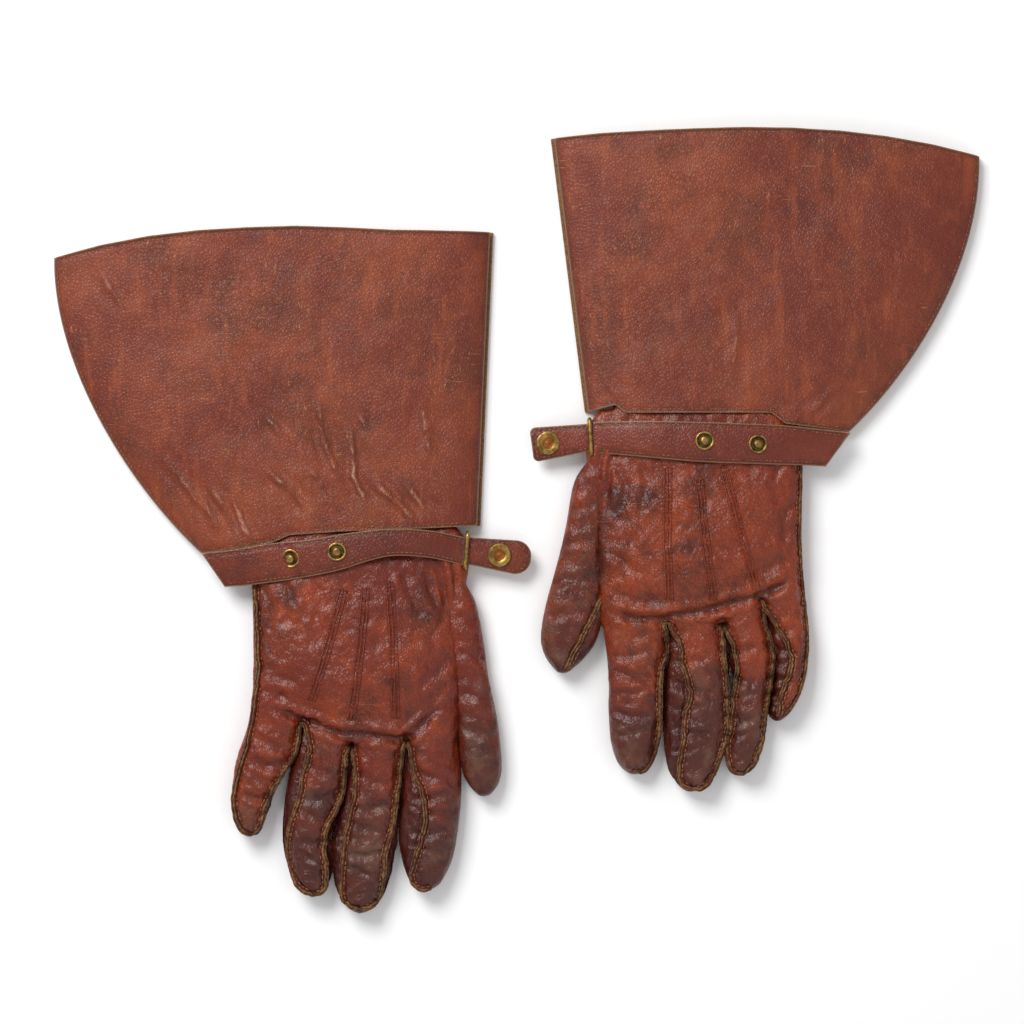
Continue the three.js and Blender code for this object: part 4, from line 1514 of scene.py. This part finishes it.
def leatherFinish(name, kind, attributes=("fold",)):
    t = leathers[kind]
    f = Finish(name)
    broad = f.noise(16, 3).step(0.35, 0.68)
    blotch = f.noise(48, 4, 0.6, 0.4).step(0.46, 0.74)
    deep = f.noise(31, 4, 0.6, 0.3).step(0.45, 0.72)
    tint = f.mix(colour(*t["base"]), colour(*t["warm"]), broad * 0.55)
    tint = f.mix(tint, colour(*t["warm"]), blotch * 0.5)
    tint = f.mix(tint, colour(*t["dark"]), deep * t["mottle"])
    # pebbles of the grain, and the finer lines between them
    pebble = f.cells(620, "DISTANCE_TO_EDGE", f.stretched((1, 0.72, 1), 0.35))
    lines = 1 - pebble.step(0.0, 0.16)
    tint = f.mix(tint, colour(*t["dark"]), lines * 0.34)
    # a wider net of creases that come and go
    net = f.cells(210, "DISTANCE_TO_EDGE", f.warped(0.009, 160))
    crackle = (1 - net.step(0.0, 0.045)) * f.noise(26, 3).step(0.45, 0.62)
    tint = f.mix(tint, colour(*t["dark"]), crackle * t["crackle"])
    speck = f.noise(900, 2).step(0.56, 0.72)
    tint = f.mix(tint, colour(*t["warm"]), speck * 0.3)
    # scuffs and short scratches
    worn = f.noise(150, 5, 0.7, 0.6).step(0.6, 0.76) * f.noise(22, 2).step(0.48, 0.66)
    scratch = f.noise(
        60, 2, 0.5, 0.0, f.stretched((1, 14, 1), 0.7),
    ).step(0.68, 0.74) * f.noise(35, 1).step(0.52, 0.62)
    tint = f.mix(tint, colour(*t["pale"]), worn * t["scuffs"] * 0.5 + scratch * t["scuffs"] * 0.6)
    rough = 0.1 * worn + (t["rough"] - 0.1) + 0.22 * f.noise(90, 3)
    height = pebble.step(
        0.0, 0.3,
    ) * 0.42 + f.noise(1500, 2) * 0.2 + f.noise(260, 3) * 0.7 - scratch * 0.4 - crackle * (1.8 * t["crackle"])
    if "crease" in attributes:
        near = f.attribute("crease")
        here = f.attribute("creaseHere").step(0.1, 0.8)
        # the pale ridge lines on the crease crests are a painted highlight; the same ridge also lifts the bump
        ridge = (1 - near.step(0.1, 0.8)) * here * f.noise(150, 4, 0.7).step(0.38, 0.58)
        shadow = (1 - (near - 1.7).math("ABSOLUTE").step(0.2, 1.3)) * here
        tint = f.mix(tint, colour(*t["dark"]), shadow * 0.35)
        tint = f.mix(tint, colour(204, 160, 138), ridge * 0.5)
        streak = f.noise(120, 4, 0.75, 0.0, f.stretched((1.0, 0.16, 1), 0.32)).step(0.5, 0.7)
        tint = f.mix(tint, colour(*t["warm"]), streak * 0.5)
        fleck = f.noise(
            420, 3, 0.8, 0.0, f.stretched((1.0, 0.3, 1), -0.3),
        ).step(0.62, 0.7) * f.noise(30, 3).step(0.45, 0.65)
        tint = f.mix(tint, colour(*t["pale"]), fleck * 0.55)
        height = height + ridge * 0.8
    if "fold" in attributes:
        # painted shade in the fold valleys and a painted warm highlight on the crests
        fold = f.attribute("fold")
        tint = f.mix(tint, colour(*t["dark"]), (fold * -1).step(0.1, 1.5) * 0.8)
        tint = f.mix(tint, colour(*t["warm"]), fold.step(0.12, 0.8) * 0.5)
    if "wear" in attributes:
        wear = f.attribute("wear") * (0.45 + 0.8 * f.noise(70, 4, 0.6))
        tint = f.mix(tint, colour(60, 25, 19), wear.step(0.1, 0.9) * 0.82)
        rubbed = f.attribute("wear") * f.noise(44, 3, 0.6).step(0.48, 0.66)
        tint = f.mix(tint, colour(116, 82, 64), rubbed * 0.45)
    if "gusset" in attributes:
        # painted shade in the slots between fingers
        tint = f.mix(tint, colour(66, 20, 15), f.attribute("gusset") * 0.75)
    if "edge" in attributes:
        edge = f.attribute("edge")
        raw = 1 - edge.step(0.35, 0.95)
        tint = f.mix(tint, colour(*rawLeather["base"]), raw * (0.5 + 0.6 * f.noise(300, 3)))
        # a dark band just inside each raw edge, painted shade where the sheet dips at its edge
        rim = edge.step(0.6, 3.5)
        tint = f.mix(colour(*t["dark"]), tint, rim * 0.55 + 0.45 + raw * 0.5)
        height = height + edge.step(0.3, 2.2) * -0.8 + edge.step(2.2, 4.4) * 0.5
    if "foot" in attributes:
        rub = f.attribute("foot").power(2) * f.noise(30, 3).step(0.4, 0.7)
        tint = f.mix(tint, colour(*t["warm"]), rub * 0.5)
    normal = f.bump(height, 0.75, t["grain"])
    return f.finish(tint, rough, normal, Specular_IOR_Level=0.38)


def rawFinish(name):
    f = Finish(name)
    raw = f.attribute("raw")
    fibre = f.noise(420, 4, 0.6, 0.5)
    tan = f.mix(colour(*rawLeather["dark"]), colour(*rawLeather["base"]), fibre.step(0.35, 0.6))
    tint = f.mix(colour(84, 40, 28), tan, raw.step(0.1, 0.8) * f.noise(120, 3).step(0.3, 0.5))
    grime = f.noise(60, 3).step(0.5, 0.72)
    tint = f.mix(tint, colour(58, 44, 36), grime * 0.6)
    return f.finish(tint, 0.78, f.bump(fibre + f.noise(1100, 2) * 0.5, 0.8, 0.0004), Specular_IOR_Level=0.25)


def threadFinish(name, base, dark):
    f = Finish(name)
    tint = f.mix(colour(*dark), colour(*base), f.noise(240, 3).step(0.35, 0.62))
    twist = f.noise(1, 0, 0.5, 0.0, f.stretched((2600, 2600, 2600), 0.6))
    return f.finish(tint, 0.7, f.bump(twist, 0.5, 0.0001), Specular_IOR_Level=0.3)


def liningFinish(name):
    f = Finish(name)
    nap = f.noise(700, 4, 0.65)
    tint = f.mix(colour(104, 72, 48), colour(142, 104, 70), nap.step(0.35, 0.65))
    tint = f.mix(tint, colour(70, 46, 32), f.noise(26, 3).step(0.5, 0.75) * 0.6)
    return f.finish(tint, 0.88, f.bump(nap, 0.6, 0.0004), Specular_IOR_Level=0.2)


def brassFinish(name, dark=False):
    f = Finish(name)
    dull = f.noise(260, 4, 0.6)
    metal = f.mix(colour(122, 92, 46), colour(178, 144, 80), dull.step(0.36, 0.62))
    tarnish = f.noise(420, 4, 0.65, 0.4).step(0.5, 0.68)
    metal = f.mix(metal, colour(92, 62, 28), tarnish * 0.75)
    recess = f.attribute("recess")
    metal = f.mix(metal, colour(58, 40, 20), recess * 0.8)
    green = f.noise(330, 3, 0.6).step(0.6, 0.7) + recess * f.noise(500, 2).step(0.5, 0.7)
    metal = f.mix(metal, colour(74, 92, 48), green * 0.6)
    if dark:
        metal = f.mix(metal, colour(140, 62, 24), 0.7)
    shine = f.mix((1, 1, 1, 1), (0.35, 0.35, 0.35, 1), tarnish * 0.7 + green * 0.6)
    f.feed(f.shader.inputs["Metallic"], Value(f, shine))
    return f.finish(metal, 0.28 + 0.3 * tarnish + 0.12 * dull, f.bump(dull, 0.4, 0.00012))


finishes = {
    "cuff": leatherFinish("cuff_leather_finish", "cuff", ("fold", "edge", "foot", "crease")),
    "hand": leatherFinish("hand_leather_finish", "hand", ("fold", "gusset", "wear")),
    "strap": leatherFinish("strap_leather_finish", "strap", ("fold", "edge")),
    "raw": rawFinish("raw_edge_finish"),
    "thread": threadFinish("brown_thread_finish", (156, 96, 60), (104, 54, 36)),
    "darkThread": threadFinish("red_thread_finish", (128, 56, 38), (78, 30, 24)),
    "lining": liningFinish("lining_finish"),
    "brass": brassFinish("brass_finish"),
    "rust": brassFinish("rusty_brass_finish", True),
}
print("finishes made")


def give(obj, *names):
    obj.data.materials.clear()
    for name in names:
        obj.data.materials.append(finishes[name])


# wear of the fingers, from a little past the knuckles to the tips

# where wear starts and where it is full, in millimetres past the wrist
wornFrom = {"finger": (84, 165), "thumb": (10, 150)}


def storeWear(obj, side, start, full):
    local = toGlove(side, pointsOf(obj))
    ragged = 16 * noiseAt(local, 0.035, 31.0) + 5 * noiseAt(local, 0.12, 37.0)
    storeValue(obj, "wear", smoothstep(start, full, -local[:, 1] + ragged))


# finishes for every piece, the webs, cuffs, straps, tabs, loops and brass on their bodies, and blend reaches at
# the wrist and the thumb, in millimetres, worked out but not used

jointBlend = {"wristFrom": 24, "wristTo": -8, "thumbFrom": -6, "thumbTo": 18}


def rowPoint(side, x, y, z=0.0):
    return tuple(toWorld(side, np.array([x, y, z], float)))


def blendFinger(obj, side, name):
    f = fingers[side][name]
    start = f["knuckle"] + np.array([*(f["along"] * fingerBlend["from"]), 0])
    end = f["knuckle"] + np.array([*(f["along"] * fingerBlend["to"]), 0])
    side + "_hand"
    tuple(toWorld(side, start))
    tuple(toWorld(side, end))
    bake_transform(obj)


def sheetFacts(obj):
    # the flat size and area of a sheet, from its own mesh
    area = sum(face.area for face in obj.data.polygons) / 2
    low, high = pointsOf(obj).min(axis=0), pointsOf(obj).max(axis=0)
    return (float(high[0] - low[0]), float(high[1] - low[1])), float(area)


for side in sides:
    wristStart = rowPoint(side, 0, jointBlend["wristFrom"], palmMiddle)
    wristEnd = rowPoint(side, 0, jointBlend["wristTo"], palmMiddle)
    hand, thumb = hands[side], thumbs[side]
    for obj in (hand, thumb, *fingerSkins[side].values()):
        storeWear(obj, side, *wornFrom["thumb" if obj is thumb else "finger"])
    give(hand, "hand")
    give(thumb, "hand")
    side + "_cuff"
    side + "_hand"
    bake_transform(hand)
    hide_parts(side + "_hand_back", side + "_hand_palm")
    f = fingers[side]["thumb"]
    start = f["knuckle"] + np.array([*(f["along"] * jointBlend["thumbFrom"]), 0])
    end = f["knuckle"] + np.array([*(f["along"] * jointBlend["thumbTo"]), 0])
    thumbPieces = [thumb, *sewn[side].get("thumb", ())]
    for obj in thumbPieces:
        side + "_hand"
        side + "_thumb"
        tuple(toWorld(side, start))
        tuple(toWorld(side, end))
        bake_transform(obj)
    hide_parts(side + "_thumb_stall")
    for name, skin in fingerSkins[side].items():
        give(skin, "hand")
        blendFinger(skin, side, name)
        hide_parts(*[node for node in nodes if node.startswith(f"{side}_{name}_")])
    for leg, (ridge, row) in sewn[side].items():
        give(ridge, "hand" if leg == "points" else "raw")
        give(row, "thread" if leg != "points" else "darkThread")
        if leg == "points":
            side + "_cuff"
            side + "_hand"
            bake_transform(ridge)
            side + "_cuff"
            side + "_hand"
            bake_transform(row)
        elif leg == "side":
            blendFinger(ridge, side, "little")
            blendFinger(row, side, "little")
        elif leg != "thumb":
            blendFinger(ridge, side, leg.split("_")[0])
            blendFinger(row, side, leg.split("_")[0])
    # the crotch pieces carry full painted shade
    storeValue(webs[side], "gusset", np.ones(len(webs[side].data.vertices)))
    give(webs[side], "hand")
    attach(webs[side], side + "_hand")
    # cuffs, the outer sheets over their linings
    made = cuffs[side]
    for key, node, finish in (
        ("back", "cuff_back_panel", "cuff"),
        ("palm", "cuff_palm_panel", "cuff"),
        ("backLining", "cuff_back_lining", "lining"),
        ("palmLining", "cuff_palm_lining", "lining"),
    ):
        give(made[key], finish, finish)
        flat, area = sheetFacts(made[key])
        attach(made[key], side + "_cuff")
        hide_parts(f"{side}_{node}")
    give(cuffSewing[side], "thread")
    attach(cuffSewing[side], side + "_cuff")
    for (piece, row), body, node in (
        (straps[side], "_cuff", "_wrist_strap"), (tabs[side], "_tab", "_strap_tab"),
    ):
        give(piece, "strap", "strap")
        give(row, "thread")
        for obj in (piece, row):
            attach(obj, side + body)
        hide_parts(side + node)
    give(loops[side], "brass")
    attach(loops[side], side + "_loop")
    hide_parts(side + "_brass_loop")
    for key, node, body in (
        ("stud_1", "stud_1", "cuff"), ("stud_2", "stud_2", "cuff"), ("eye", "snap_socket", "tab"),
        ("pit", "snap_spring", "tab"),
    ):
        obj = brassware[side][key]
        give(obj, "rust" if key == "pit" else "brass")
        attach(obj, f"{side}_{body}")
        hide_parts(f"{side}_{node}")
    for name, obj in nodes.items():
        if name.startswith(side) and not obj.hide_render:
            give(obj, "strap" if "chape" in name else "rust" if "spring" in name else "brass")
print("pieces on their bodies")

# floor, light and camera

studio = {"floor": (0.93, 0.93, 0.93, 1), "sky": 0.55, "key": 30, "fill": 7, "lens": 135, "field": 0.594}
bpy.ops.mesh.primitive_plane_add(size=8, location=(0, 0, -0.0004))
floor = bpy.context.object
floor.name = "floor"
floorFinish = Finish("floor_finish")
floor.data.materials.append(floorFinish.finish(studio["floor"], 0.9))
for name, power, size, turn in (
    ("key", studio["key"], 0.9, (-0.55, -0.5, 0)), ("fill", studio["fill"], 2.4, (0.6, 0.6, 0)),
):
    light = bpy.data.lights.new(name, "AREA")
    light.energy, light.size = power, size
    lamp = newObject(name, light)
    lamp.rotation_euler = turn
    lamp.location = Vector((0, 0, 1.9))
    lamp.location.rotate(lamp.rotation_euler)
world = bpy.data.worlds.new("studio")
world.use_nodes = True
world.node_tree.nodes["Background"].inputs[0].default_value = (1, 1, 1, 1)
world.node_tree.nodes["Background"].inputs[1].default_value = studio["sky"]
bpy.context.scene.world = world
bpy.context.scene.view_settings.view_transform = "Standard"
lens = bpy.data.cameras.new("camera")
lens.lens, lens.sensor_width = studio["lens"], 36
camera = newObject("camera", lens)
camera.location = (-0.0026, 0.0035, studio["field"] * studio["lens"] / 36 + 0.01)
bpy.context.scene.camera = camera
